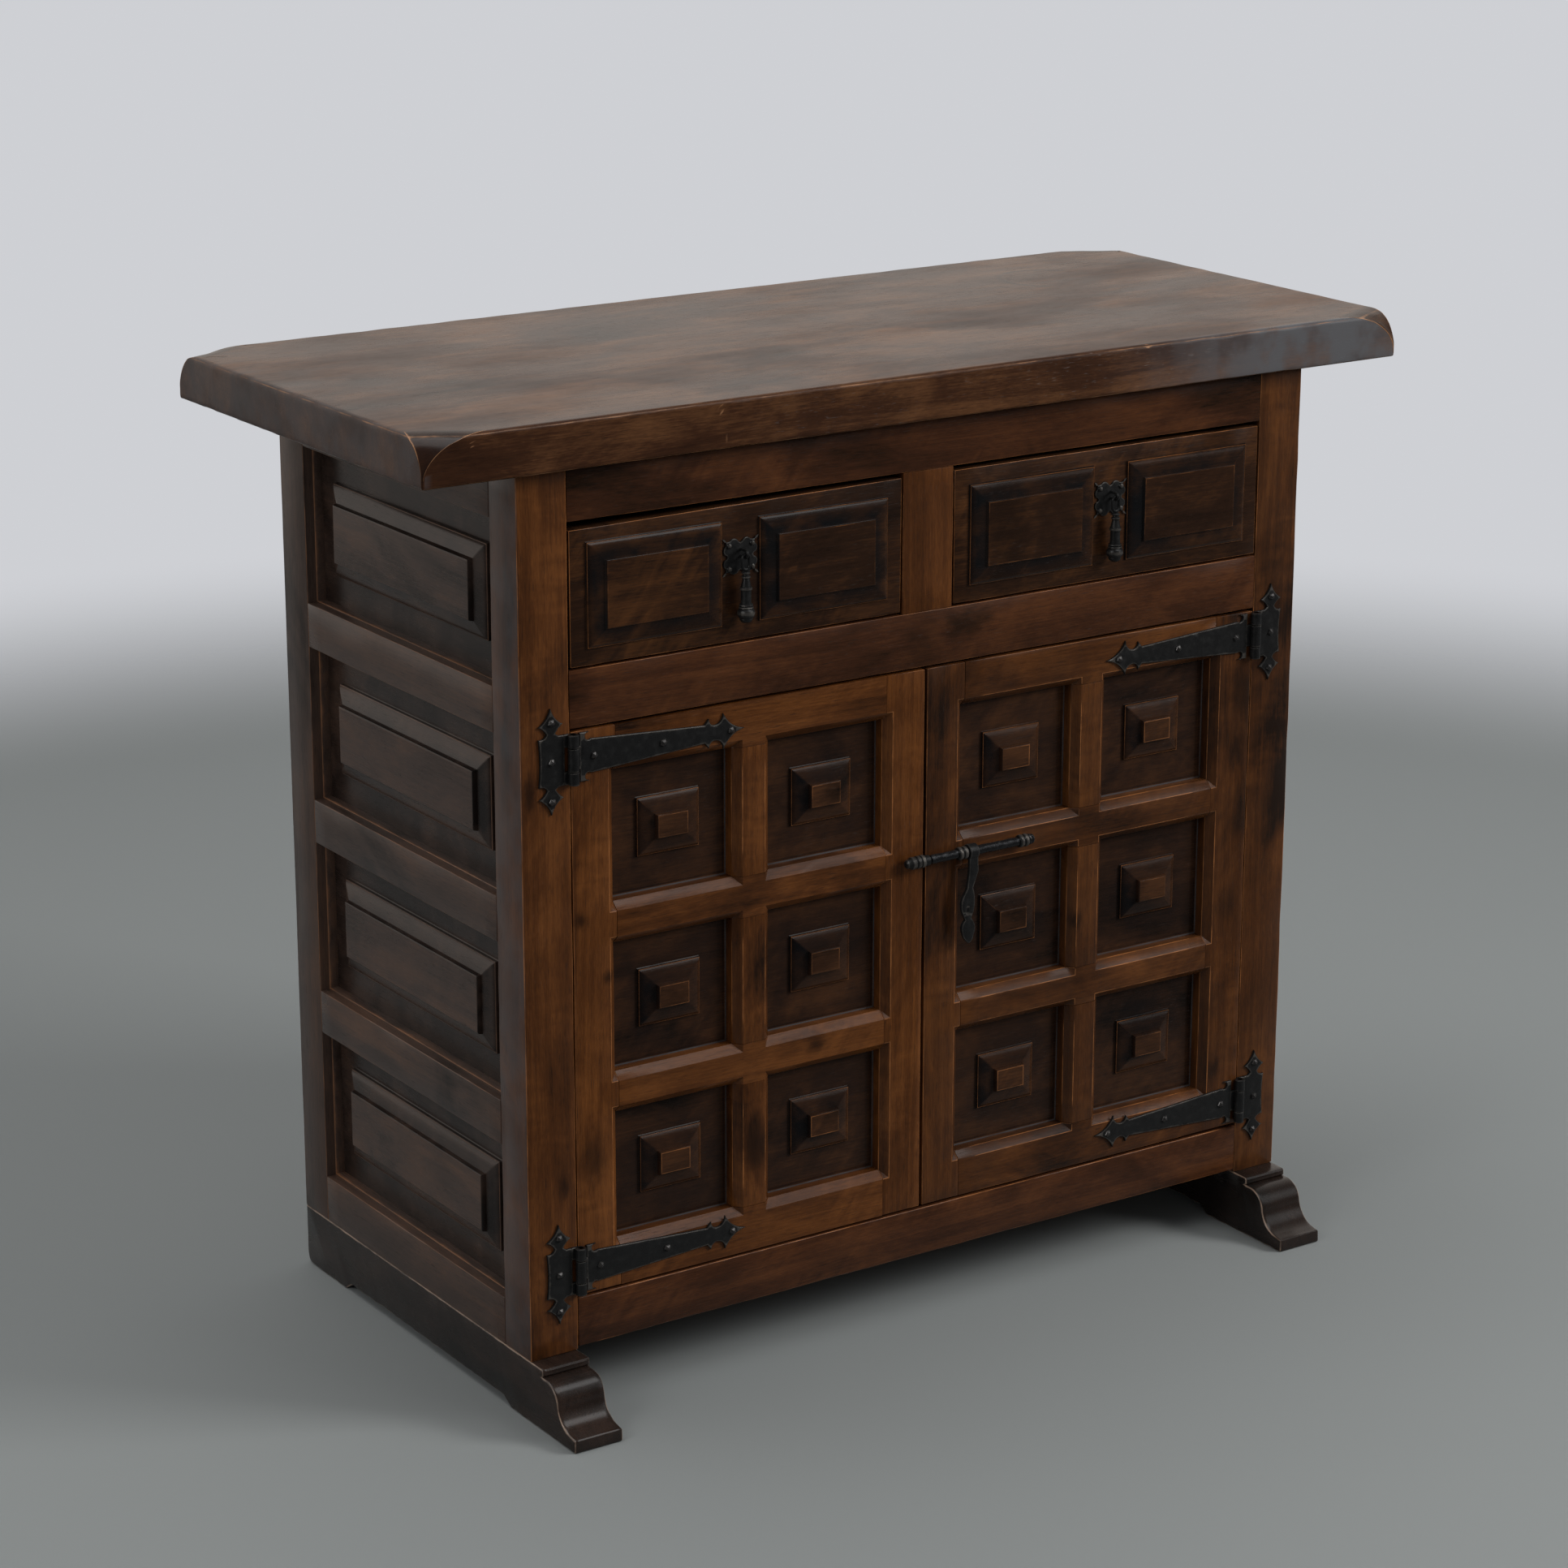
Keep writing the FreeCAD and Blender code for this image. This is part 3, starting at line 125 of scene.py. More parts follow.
def calc(operation, *values, clamp=False):
    made = addNode(treeOf(values), "Math", dict(enumerate(values)), operation=operation, use_clamp=clamp)
    return made.outputs[0]


def add(first, second):
    return calc("ADD", first, second)


def take(first, second):
    return calc("SUBTRACT", first, second)


def times(first, second, clamp=False):
    return calc("MULTIPLY", first, second, clamp=clamp)


def larger(first, second):
    return calc("MAXIMUM", first, second)


def stretch(vector, scale):
    return addNode(vector.id_data, "VectorMath", {0: vector, 1: scale}, operation="MULTIPLY").outputs[0]


def lengthOf(vector):
    return addNode(vector.id_data, "VectorMath", {0: vector}, operation="LENGTH").outputs["Value"]


def cloud(vector, scale, detail=2.0, roughness=0.5, distortion=0.0):
    # noise; a scale of three numbers stretches it along the grain
    if isinstance(scale, tuple):
        vector, scale = stretch(vector, scale), 1.0
    inputs = {"Vector": vector, "Scale": scale, "Detail": detail, "Roughness": roughness, "Distortion": distortion}
    return addNode(vector.id_data, "TexNoise", inputs).outputs["Fac"]


def remap(value, low, high, toLow=0.0, toHigh=1.0):
    inputs = {"Value": value, "From Min": low, "From Max": high, "To Min": toLow, "To Max": toHigh}
    return addNode(value.id_data, "MapRange", inputs, interpolation_type="SMOOTHSTEP").outputs["Result"]


def blend(factor, *colours):
    solid = [colour if isinstance(colour, bpy.types.NodeSocket) else (*colour, 1.0) for colour in colours]
    return addNode(factor.id_data, "Mix", {0: factor, 6: solid[0], 7: solid[1]}, data_type="RGBA").outputs[2]


def newGroup(name, inputs, outputs):
    group = bpy.data.node_groups.new(name, "ShaderNodeTree")
    for labels, way in ((inputs, "INPUT"), (outputs, "OUTPUT")):
        for label in labels:
            kind = "NodeSocketVector" if label == "Point" else "NodeSocketFloat"
            group.interface.new_socket(label, in_out=way, socket_type=kind)
    start = group.nodes.new("NodeGroupInput")
    end = group.nodes.new("NodeGroupOutput")
    return group, start.outputs, end


def placeGroup(group, inputs):
    made = treeOf(inputs.values()).nodes.new("ShaderNodeGroup")
    made.node_tree = group
    return plugIn(made, inputs).outputs


def readLayer(tree, name, output="Fac"):
    return addNode(tree, "Attribute", attribute_name=name).outputs[output]


def newMaterial(name):
    material = bpy.data.materials.new(name)
    material.use_nodes = True
    return material, material.node_tree, material.node_tree.nodes["Principled BSDF"]


def makeWorld():
    world = bpy.data.worlds.new("room")
    bpy.context.scene.world = world
    world.use_nodes = True
    tree = world.node_tree
    tree.nodes.clear()
    parts = addNode(tree, "SeparateXYZ", {0: addNode(tree, "TexCoord").outputs["Generated"]}).outputs
    wall = remap(add(times(parts["Y"], 0.9), times(parts["X"], -0.15)), -0.35, 0.55, room["dimShare"], 1.0)
    rays = addNode(tree, "LightPath").outputs
    byCamera, mirrored, through = (rays[f"Is {kind} Ray"] for kind in ("Camera", "Glossy", "Transmission"))
    seen = larger(larger(byCamera, through), times(mirrored, wall))
    fill = times(take(1.0, larger(larger(byCamera, mirrored), through)), room["fillStrength"])
    colour = blend(mirrored, room["wallColour"], room["wallMirrored"])
    light = addNode(tree, "Background", {"Color": colour, "Strength": add(seen, fill)})
    addNode(tree, "OutputWorld", {0: light.outputs[0]})


# shared effects
def makeGrain():
    tree, given, end = newGroup(
        "woodGrain", ("Point", "Figure", "Knots", "Flame"), ("Tone", "Pores", "Knot", "Height"))
    point = given["Point"]
    drift = addNode(tree, "TexNoise", {"Vector": stretch(point, (1.7, 6.0, 6.0)), "Scale": 1.0, "Detail": 1.0})
    shift = addNode(tree, "VectorMath", {0: drift.outputs["Color"], 1: (0.5, 0.5, 0.5)}, operation="SUBTRACT")
    bend = stretch(shift.outputs[0], (0.0, 0.018, 0.018))
    wavy = addNode(tree, "VectorMath", {0: point, 1: bend}, operation="ADD").outputs[0]
    cells = addNode(tree, "TexVoronoi", {"Vector": stretch(point, (5.5, 9.0, 1.0)), "Scale": 1.0, "Randomness": 1.0})
    away = add(cells.outputs["Distance"], times(cloud(point, (90.0, 90.0, 90.0)), 0.05))
    knot = times(remap(away, 0.22, 0.08), given["Knots"])
    swirl = times(remap(away, 0.34, 0.05), 4.0)
    bands = cloud(wavy, (2.2, 60.0, 60.0), 3.0)
    rows = times(addNode(tree, "SeparateXYZ", {0: wavy}).outputs["Y"], 560.0)
    rings = calc("SINE", add(add(rows, times(bands, 22.0)), swirl))
    fibres = cloud(wavy, (16.0, 620.0, 620.0), 4.0, 0.7)
    flecks = cloud(wavy, (120.0, 900.0, 900.0), 2.0, 0.6)
    blotch = cloud(point, (7.0, 13.0, 13.0), 6.0, 0.60, 1.0)
    stain = remap(cloud(point, (3.4, 7.5, 7.5), 5.0, 0.6, 0.8), 0.52, 0.70)
    tone = add(add(add(times(blotch, 0.62), times(bands, 0.22)), 0.09), times(times(rings, 0.03), given["Figure"]))
    tone = take(tone, times(stain, 0.23))
    tone = add(tone, times(take(fibres, 0.5), 0.30))
    tone = add(tone, times(take(flecks, 0.5), 0.22))
    turned = addNode(tree, "VectorRotate", {"Vector": point, "Axis": (0.0, 1.0, 0.0), "Angle": 0.9}).outputs[0]
    flames = cloud(turned, (24.0, 24.0, 95.0), 2.0, 0.5, 0.6)
    where = remap(cloud(point, (8.0, 8.0, 14.0)), 0.47, 0.60)
    tone = add(tone, times(times(take(flames, 0.38), where), given["Flame"]))
    pores = remap(cloud(wavy, (70.0, 1500.0, 1500.0), 1.0), 0.64, 0.74)
    plugIn(end, {"Tone": tone, "Pores": pores, "Knot": knot, "Height": take(times(fibres, 0.5), times(pores, 0.8))})
    return tree


def makeEdgeWear():
    tree, given, end = newGroup("edgeWear", ("Point", "Edge", "Amount"), ("Mask",))
    patches = take(cloud(given["Point"], 34.0, 4.0, 0.65), 0.5)
    edge = calc("POWER", given["Edge"], 1.6)
    worn = remap(add(edge, times(patches, 1.5)), 0.45, 1.05)
    plugIn(end, {"Mask": times(times(worn, edge), given["Amount"])})
    return tree


def makeHaze():
    tree, given, end = newGroup("hazeAndScuffs", ("Point", "Amount"), ("Haze", "Scuff"))
    haze = remap(cloud(given["Point"], (4.0, 9.0, 9.0), 4.0, 0.6), 0.35, 0.75)
    scuff = times(remap(cloud(given["Point"], (120.0, 900.0, 900.0)), 0.62, 0.8), haze)
    plugIn(end, {"Haze": times(haze, given["Amount"]), "Scuff": times(scuff, given["Amount"])})
    return tree


makeWorld()
grainGroup, wearGroup, hazeGroup = makeGrain(), makeEdgeWear(), makeHaze()

# what a wood has unless its own dictionary says otherwise
plainWood = {
    "slot": "front_wood", "worn": (0.42, 0.16, 0.05), "flame": 0.0, "stained": False, "edgeRough": 0.05,
    "figure": 1.0, "knots": 0.0, "wear": 0.8, "haze": 0.4, "bump": 0.08, "gloss": 0.30}
woods = {
    "slabWood": {
        "slot": "slab_wood", "dark": (0.013, 0.006, 0.004), "mid": (0.043, 0.0175, 0.0085),
        "light": (0.150, 0.065, 0.026), "worn": (0.40, 0.20, 0.095), "grimeAndShade": (0.012, 0.007, 0.006), "rough": 0.27,
        "stained": True, "edgeRough": 0.0, "figure": 0.8, "haze": 1.4, "gloss": 0.15},
    "frontWood": {
        "dark": (0.014, 0.006, 0.003), "mid": (0.076, 0.0250, 0.0066), "light": (0.180, 0.062, 0.0150),
        "worn": (0.50, 0.19, 0.055), "grimeAndShade": (0.014, 0.010, 0.008), "rough": 0.23, "flame": 0.3, "edgeRough": 0.32,
        "knots": 1.0, "wear": 0.72, "haze": 0.3},
    # drawerWood and railWood are darker than the door wood: partly their own darker stain, partly painted shade from
    # the slab's overhang
    "drawerWood": {
        "dark": (0.010, 0.005, 0.003), "mid": (0.0235, 0.0106, 0.0057), "light": (0.084, 0.0325, 0.0110),
        "grimeAndShade": (0.0055, 0.0055, 0.006), "rough": 0.22, "flame": 0.45, "knots": 0.6, "bump": 0.07},
    "railWood": {
        "dark": (0.012, 0.006, 0.003), "mid": (0.046, 0.0165, 0.0072), "light": (0.112, 0.039, 0.0130),
        "grimeAndShade": (0.010, 0.007, 0.006), "rough": 0.24, "flame": 0.3, "edgeRough": 0.15, "knots": 0.6},
    "panelWood": {
        "dark": (0.009, 0.005, 0.003), "mid": (0.039, 0.0168, 0.0082), "light": (0.096, 0.038, 0.0142),
        "grimeAndShade": (0.0055, 0.005, 0.0055), "rough": 0.25, "flame": 0.3, "figure": 0.8, "wear": 0.85, "bump": 0.07,
        "gloss": 0.28},
    "sideWood": {
        "slot": "side_wood", "dark": (0.012, 0.008, 0.006), "mid": (0.062, 0.039, 0.030),
        "light": (0.135, 0.070, 0.042), "worn": (0.32, 0.14, 0.06), "grimeAndShade": (0.009, 0.006, 0.005), "rough": 0.29,
        "edgeRough": 0.1, "figure": 0.8, "knots": 0.3, "wear": 0.7, "haze": 0.6, "bump": 0.09, "gloss": 0.37},
    "sledWood": {
        "slot": "sled_wood", "dark": (0.008, 0.006, 0.005), "mid": (0.018, 0.0115, 0.009),
        "light": (0.042, 0.024, 0.017), "worn": (0.42, 0.29, 0.21), "grimeAndShade": (0.006, 0.006, 0.007), "rough": 0.27,
        "figure": 0.6, "wear": 0.9, "haze": 0.7, "bump": 0.10, "gloss": 0.5},
    "innerWood": {
        "slot": "inner_wood", "dark": (0.05, 0.028, 0.016), "mid": (0.16, 0.090, 0.048),
        "light": (0.27, 0.165, 0.095), "worn": (0.40, 0.27, 0.17), "grimeAndShade": (0.03, 0.022, 0.017), "rough": 0.6,
        "edgeRough": 0.0, "knots": 0.8, "wear": 0.3, "haze": 0.3, "bump": 0.14},
}
woods = {name: {**plainWood, **look} for name, look in woods.items()}
# greys laid over the wood: the bloom is painted grey sheen together with old varnish bloom and dust, the scuff is
# scuffed varnish
varnishDustAndSheen = {"dustBloomAndSheen": (0.090, 0.089, 0.093), "scuff": (0.16, 0.15, 0.145)}


def makeWood(name, look):
    material, tree, shader = newMaterial(name)
    point = readLayer(tree, "grain", "Vector")
    edge, shade = readLayer(tree, "wear"), readLayer(tree, "shade")
    grain = placeGroup(grainGroup, {
        "Point": point, "Figure": look["figure"], "Knots": look["knots"], "Flame": look["flame"]})
    wear = placeGroup(wearGroup, {"Point": point, "Edge": edge, "Amount": look["wear"]})["Mask"]
    haze = placeGroup(hazeGroup, {"Point": point, "Amount": look["haze"]})
    ramp = addNode(tree, "ValToRGB", {"Fac": grain["Tone"]})
    stops = ramp.color_ramp.elements
    stops.new(0.5)
    for stop, position, colour in zip(stops, (0.22, 0.48, 0.78), ("dark", "mid", "light")):
        stop.position, stop.color = position, (*look[colour], 1.0)
    ragged = times(cloud(point, (60.0, 130.0, 130.0), 3.0, 0.6), 1.1)
    knot = grain["Knot"]
    for layer in ("knotOne", "knotTwo"):
        knot = larger(knot, remap(add(lengthOf(readLayer(tree, layer, "Vector")), ragged), 1.45, 0.55))
    colour = blend(times(knot, 0.8), ramp.outputs["Color"], look["dark"])
    colour = blend(times(grain["Pores"], 0.55), colour, look["dark"])
    if look["stained"]:
        away = calc("ABSOLUTE", take(lengthOf(readLayer(tree, "stain", "Vector")), 1.0))
        ring = times(remap(away, 0.085, 0.02), remap(cloud(point, 22.0), 0.40, 0.60, 0.0, 0.8))
        colour = blend(ring, colour, look["grimeAndShade"])
    patch = remap(cloud(point, 26.0, 3.0, 0.6), 0.35, 0.62, 0.55, 1.0)
    # a positive shade darkens the colour towards the grime and shade colour: painted shade in recesses, on slopes and
    # on carved facets, and the darker right door
    colour = blend(times(shade, patch, clamp=True), colour, look["grimeAndShade"])
    # a negative shade paints grey sheen, varnish bloom and dust lines
    colour = blend(times(times(shade, -1.0), patch, clamp=True), colour, varnishDustAndSheen["dustBloomAndSheen"])
    colour = blend(wear, colour, look["worn"])
    colour = blend(times(haze["Scuff"], 0.35), colour, varnishDustAndSheen["scuff"])
    rough = add(times(haze["Haze"], 0.10), look["rough"] - 0.05)
    rough = add(rough, times(grain["Pores"], 0.15))
    rough = add(rough, times(edge, look["edgeRough"]))  # rubbed varnish
    bump = addNode(tree, "Bump", {"Height": grain["Height"], "Strength": look["bump"], "Distance": 0.0006})
    plugIn(shader, {
        "Base Color": colour, "Roughness": rough, "Specular IOR Level": look["gloss"],
        "Normal": bump.outputs["Normal"]})
    return material


irons = {
    "blackIron": {
        # its light rub colour on the edges is partly wear, partly painted highlight along the strap edges
        "slot": "iron", "base": (0.027, 0.027, 0.027), "rub": (0.15, 0.135, 0.12), "dust": (0.045, 0.045, 0.044),
        "metal": 0.65, "rough": 0.33, "bump": 0.10},
    "rubbedIron": {
        "slot": "iron", "base": (0.045, 0.046, 0.049), "rub": (0.13, 0.125, 0.12), "dust": (0.07, 0.07, 0.072),
        "metal": 0.85, "rough": 0.24, "bump": 0.12},
    "nailIron": {
        # lighter than the other iron: partly rubbed nail heads, partly painted glint of their facets
        "slot": "iron", "base": (0.09, 0.086, 0.084), "rub": (0.34, 0.32, 0.30), "dust": (0.09, 0.085, 0.085),
        "metal": 0.8, "rough": 0.26, "bump": 0.08},
    "screwSteel": {
        "slot": "screw_steel", "base": (0.30, 0.29, 0.275), "rub": (0.45, 0.44, 0.42), "dust": (0.2, 0.17, 0.14),
        "metal": 0.9, "rough": 0.45, "bump": 0.1},
}


def makeIron(name, look):
    material, tree, shader = newMaterial(name)
    point, edge = readLayer(tree, "grain", "Vector"), readLayer(tree, "wear")
    wear = placeGroup(wearGroup, {"Point": stretch(point, (3.0, 3.0, 3.0)), "Edge": edge, "Amount": 0.75})["Mask"]
    scale = cloud(point, 150.0, 4.0, 0.65)
    colour = blend(remap(scale, 0.45, 0.8, 0.0, 0.6), look["base"], look["dust"])
    dents = add(cloud(point, 190.0), times(cloud(point, 900.0), 0.35))
    bump = addNode(tree, "Bump", {"Height": dents, "Strength": look["bump"], "Distance": 0.0008})
    plugIn(shader, {
        "Base Color": blend(wear, colour, look["rub"]), "Metallic": look["metal"], "Normal": bump.outputs["Normal"],
        "Roughness": remap(scale, 0.3, 0.75, look["rough"] - 0.08, look["rough"] + 0.16)})
    return material


materials = {name: makeWood(name, look) for name, look in woods.items()}
materials.update({name: makeIron(name, look) for name, look in irons.items()})
print("materials made:", len(materials))


# dark knots: x and z of each in a piece, and its half sizes across and up
knots = {
    "left.door.stile.0": ((-351.0, 441.0, 10.0, 13.0), (-326.0, 386.0, 11.0, 10.0)),
    "right.door.stile.1": ((346.0, 478.0, 13.0, 34.0), (330.0, 168.0, 14.0, 26.0)),
    "right.door.muntin.1": ((166.0, 345.0, 12.0, 17.0),),
    "left.door.rail.1": ((-118.0, 285.0, 22.0, 15.0),),
    "rail.middle": ((40.0, 640.0, 46.0, 22.0),),
    "post.front.left": ((-398.0, 560.0, 12.0, 30.0), (-372.0, 210.0, 10.0, 24.0)),
}
noKnot = (9.0, 9.0, 0.0)  # far from any knot
stains = {"slab": (342.0, 126.0, 44.0)}  # x, y and radius of the ring a wet glass has left


# mesh helpers
noise.seed_set(1)  # so that noise_vector gives the same waviness in every run


def seeded(*words):
    return random.Random(" ".join(str(word) for word in words))


def anyShift(dice, reach=90.0):
    return Vector([dice.uniform(-reach, reach) for _ in range(3)])


def newMesh():
    mesh = bmesh.new()
    for name in ("grain", "knotOne", "knotTwo"):
        mesh.verts.layers.float_vector.new(name)
    for name in ("wear", "shade"):
        mesh.verts.layers.float.new(name)
    return mesh


def setGrain(mesh, along, name):
    layer = mesh.verts.layers.float_vector["grain"]
    turn = {"x": (0, 1, 2), "y": (1, 0, 2), "z": (2, 0, 1)}[along]
    offset = anyShift(seeded(name, "grain"), 8.0)
    for vert in mesh.verts:
        vert[layer] = Vector([vert.co[index] * mm for index in turn]) + offset


def softenEdges(mesh, width, angle=24.0, segments=2):
    # rounds the sharp edges and marks the new arrises as worn
    limit = math.radians(angle)
    edges = [
        edge for edge in mesh.edges
        if len(edge.link_faces) == 2 and edge.is_convex and edge.calc_face_angle(0.0) > limit
    ]
    made = bmesh.ops.bevel(
        mesh, geom=edges, offset=width, offset_type="OFFSET", segments=segments, profile=0.5,
        affect="EDGES", clamp_overlap=True, material=-1)
    wear = mesh.verts.layers.float["wear"]
    rounded = set(made["faces"])
    for vert in {vert for face in rounded for vert in face.verts}:
        vert[wear] = 1.0 if all(face in rounded for face in vert.link_faces) else 0.35


uneven = {"swayGrid": 70.0, "dentGrid": 16.0, "dentLift": 0.1}


def roughUp(mesh, name, sway=0.15, dent=0.45):
    # slow waviness all over and uneven wear on the arrises
    start = anyShift(seeded(name, "rough"))
    wear = mesh.verts.layers.float["wear"]
    mesh.normal_update()
    moves = []
    for vert in mesh.verts:
        move = noise.noise_vector((vert.co + start) / uneven["swayGrid"]) * sway
        lump = noise.noise((vert.co + start) / uneven["dentGrid"])
        bite = max(0.0, lump + uneven["dentLift"]) * dent * vert[wear]
        moves.append((vert, move - vert.normal * bite))
    for vert, move in moves:
        vert.co += move


def keepIn(mesh, low, high):
    for vert in mesh.verts:
        for axis in range(3):
            vert.co[axis] = min(max(vert.co[axis], low[axis]), high[axis])


def joined(meshes):
    whole = newMesh()
    for mesh in meshes:
        part = bpy.data.meshes.new("part")
        mesh.to_mesh(part)
        mesh.free()
        whole.from_mesh(part)
        bpy.data.meshes.remove(part)
    return whole


def makePiece(name, mesh, material, body, nodes=(), sharp=38.0):
    data = bpy.data.meshes.new(name)
    bmesh.ops.recalc_face_normals(mesh, faces=mesh.faces)
    limit = math.radians(sharp)
    for edge in mesh.edges:
        if len(edge.link_faces) == 2 and edge.calc_face_angle(0.0) > limit:
            edge.smooth = False
    for face in mesh.faces:
        face.smooth = True
    found = list(knots.get(name, ())) + [None, None]
    for layerName, knot in zip(("knotOne", "knotTwo"), found):
        layer = mesh.verts.layers.float_vector[layerName]
        x, z, across, up = knot or (0.0, 0.0, 1.0, 1.0)
        for vert in mesh.verts:
            vert[layer] = ((vert.co.x - x) / across, (vert.co.z - z) / up, 0.0) if knot else noKnot
    if name in stains:
        x, y, radius = stains[name]
        layer = mesh.verts.layers.float_vector.new("stain")
        for vert in mesh.verts:
            vert[layer] = ((vert.co.x - x) / radius, (vert.co.y - y) / radius, 0.0)
    mesh.to_mesh(data)
    mesh.free()
    data.transform(Matrix.Scale(mm, 4))
    data.materials.append(materials[material])
    piece = addObject(name, data)
    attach(piece, body)
    if nodes:
        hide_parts(*nodes)
    return piece


def boxOf(node):
    low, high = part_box(node)
    return low / mm, high / mm


def solidBoxes(node):
    # the box of each separate solid of a node, in millimetres
    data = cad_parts[node].data
    keys = [tuple(round(number, 5) for number in vert.co) for vert in data.vertices]
    leader = {key: key for key in keys}

    def head(key):
        while leader[key] != key:
            leader[key] = leader[leader[key]]
            key = leader[key]
        return key

    for polygon in data.polygons:
        first = head(keys[polygon.vertices[0]])
        for index in polygon.vertices[1:]:
            leader[head(keys[index])] = first
    groups = {}
    for key in leader:
        groups.setdefault(head(key), []).append(key)
    boxes = []
    for members in groups.values():
        low = Vector([min(spot[axis] for spot in members) for axis in range(3)]) / mm
        high = Vector([max(spot[axis] for spot in members) for axis in range(3)]) / mm
        boxes.append((low, high))
    return sorted(boxes, key=lambda pair: tuple(pair[0]))


axisIndex = {"x": 0, "y": 1, "z": 2}


# A board lies along an axis, with a face to look at. Its zones are stretches of its two edges that are chamfered.
def makeBoard(name, low, high, along, facing="-y", zones=(), chamfer=0.0, soft=0.9, step=22.0, sway=0.15, dent=0.45,
              shade=0.0, tight=False):
    lengthAxis, depthAxis = axisIndex[along], axisIndex[facing[-1]]
    acrossAxis = 3 - lengthAxis - depthAxis
    inward = -1.0 if facing[0] == "+" else 1.0  # "+x" is a board whose face looks along +X
    face = high[depthAxis] if inward < 0 else low[depthAxis]
    length, width = high[lengthAxis] - low[lengthAxis], high[acrossAxis] - low[acrossAxis]
    thick = high[depthAxis] - low[depthAxis]
    marks = {0.0, length}
    for start, end, side in zones:
        for mark in (start, end, start - chamfer, end + chamfer):
            if 0.0 < mark < length:
                marks.add(mark)
    stations = sorted(marks)
    filled = []
    for first, second in zip(stations, stations[1:]):
        filled.append(first)
        if second - first > chamfer + 0.1:
            count = max(1, round((second - first) / step))
            filled += [first + (second - first) * index / count for index in range(1, count)]
    filled.append(length)

    mesh = newMesh()

    def put(along, across, depth):
        spot = Vector((0.0, 0.0, 0.0))
        spot[lengthAxis] = low[lengthAxis] + along
        spot[acrossAxis] = low[acrossAxis] + across
        spot[depthAxis] = face + inward * depth
        return mesh.verts.new(spot)

    def cutAt(mark, side):
        return any(start - 0.01 <= mark <= end + 0.01 and side == which for start, end, which in zones)

    rows = []
    for mark in filled:
        lowCut, highCut = cutAt(mark, -1), cutAt(mark, 1)
        if chamfer:
            section = [
                (0.0, chamfer if lowCut else 0.0), (chamfer, 0.0), (width - chamfer, 0.0),
                (width, chamfer if highCut else 0.0), (width, thick), (0.0, thick)]
        else:
            section = [(0.0, 0.0), (width, 0.0), (width, thick), (0.0, thick)]
        rows.append(([put(mark, across, depth) for across, depth in section], lowCut, highCut))
    for (first, lowFirst, highFirst), (second, lowSecond, highSecond) in zip(rows, rows[1:]):
        count = len(first)
        for index in range(count):
            following = (index + 1) % count
            quad = [first[index], first[following], second[following], second[index]]
            changes = chamfer and ((index == 0 and lowFirst != lowSecond) or (index == 2 and highFirst != highSecond))
            if not changes:
                mesh.faces.new(quad)
                continue
            cutFirst = lowFirst if index == 0 else highFirst
            corner = {(0, True): 0, (0, False): 3, (2, True): 1, (2, False): 2}[(index, bool(cutFirst))]
            turned = quad[corner:] + quad[:corner]
            mesh.faces.new(turned[:3])
            mesh.faces.new([turned[0], turned[2], turned[3]])
    mesh.faces.new(rows[0][0])
    mesh.faces.new(rows[-1][0][::-1])
    bmesh.ops.recalc_face_normals(mesh, faces=mesh.faces)
    softenEdges(mesh, soft)
    if tight:
        # nothing has rubbed where the board meets others: at its ends, and between the zones of its edges
        layer = mesh.verts.layers.float["wear"]
        sides = {side for _, _, side in zones}
        for vert in mesh.verts:
            place = vert.co[lengthAxis] - low[lengthAxis]
            side = -1 if vert.co[acrossAxis] - low[acrossAxis] < width / 2 else 1
            apart = side in sides and not any(
                start - chamfer - 0.1 < place < end + chamfer + 0.1 for start, end, which in zones if which == side)
            if apart or (tight == "ends" and min(place, length - place) < 2.0):
                vert[layer] *= 0.15
    roughUp(mesh, name, sway, dent)
    keepIn(mesh, low, high)
    if shade:
        layer = mesh.verts.layers.float["shade"]
        for vert in mesh.verts:
            vert[layer] = shade
    setGrain(mesh, along, name)
    return mesh


def ringPoints(halfWide, halfHigh, corner=1.4):
    # points round a rectangle, close together next to its corners
    near = min(corner, halfWide * 0.4, halfHigh * 0.4)
    across = [-halfWide, -halfWide + near, 0.0, halfWide - near]
    up = [-halfHigh, -halfHigh + near, 0.0, halfHigh - near]
    points = [(spot, -halfHigh) for spot in across] + [(halfWide, spot) for spot in up]
    points += [(-spot, halfHigh) for spot in across] + [(-halfWide, -spot) for spot in up]
    return points


slopeShadeBySide = (0.15, 0.05, 0.30, 0.72)  # painted shade on the slopes by the side they face, from the lower one anticlockwise: the left ones darkest


def bridge(mesh, loops):
    for first, second in zip(loops, loops[1:]):
        for index in range(len(first)):
            following = (index + 1) % len(first)
            mesh.faces.new([first[index], first[following], second[following], second[index]])


def stackRings(rings, looped=False):
    # one mesh from rings of as many points each; a ring is a list of (place, wear) or (place, wear, shade)
    mesh = newMesh()
    wear, shade = mesh.verts.layers.float["wear"], mesh.verts.layers.float["shade"]
    loops = []
    for ring in rings:
        loop = []
        for place, worn, *more in ring:
            vert = mesh.verts.new(place)
            vert[wear] = worn
            vert[shade] = more[0] if more else 0.0
            loop.append(vert)
        loops.append(loop)
    bridge(mesh, loops + loops[:1] if looped else loops)
    if not looped:
        mesh.faces.new(loops[0][::-1])
        mesh.faces.new(loops[-1])
    bmesh.ops.recalc_face_normals(mesh, faces=mesh.faces)
    return mesh


def onFace(centre, facing):
    # gives the function that finds a spot on a face that looks along an axis
    depthAxis = axisIndex[facing[-1]]
    outward = 1.0 if facing[0] == "+" else -1.0

    def put(across, up, rise):
        spot = Vector(centre)
        spot[1 if depthAxis == 0 else 0] += across
        spot[2] += up
        spot[depthAxis] += outward * rise
        return spot

    return put


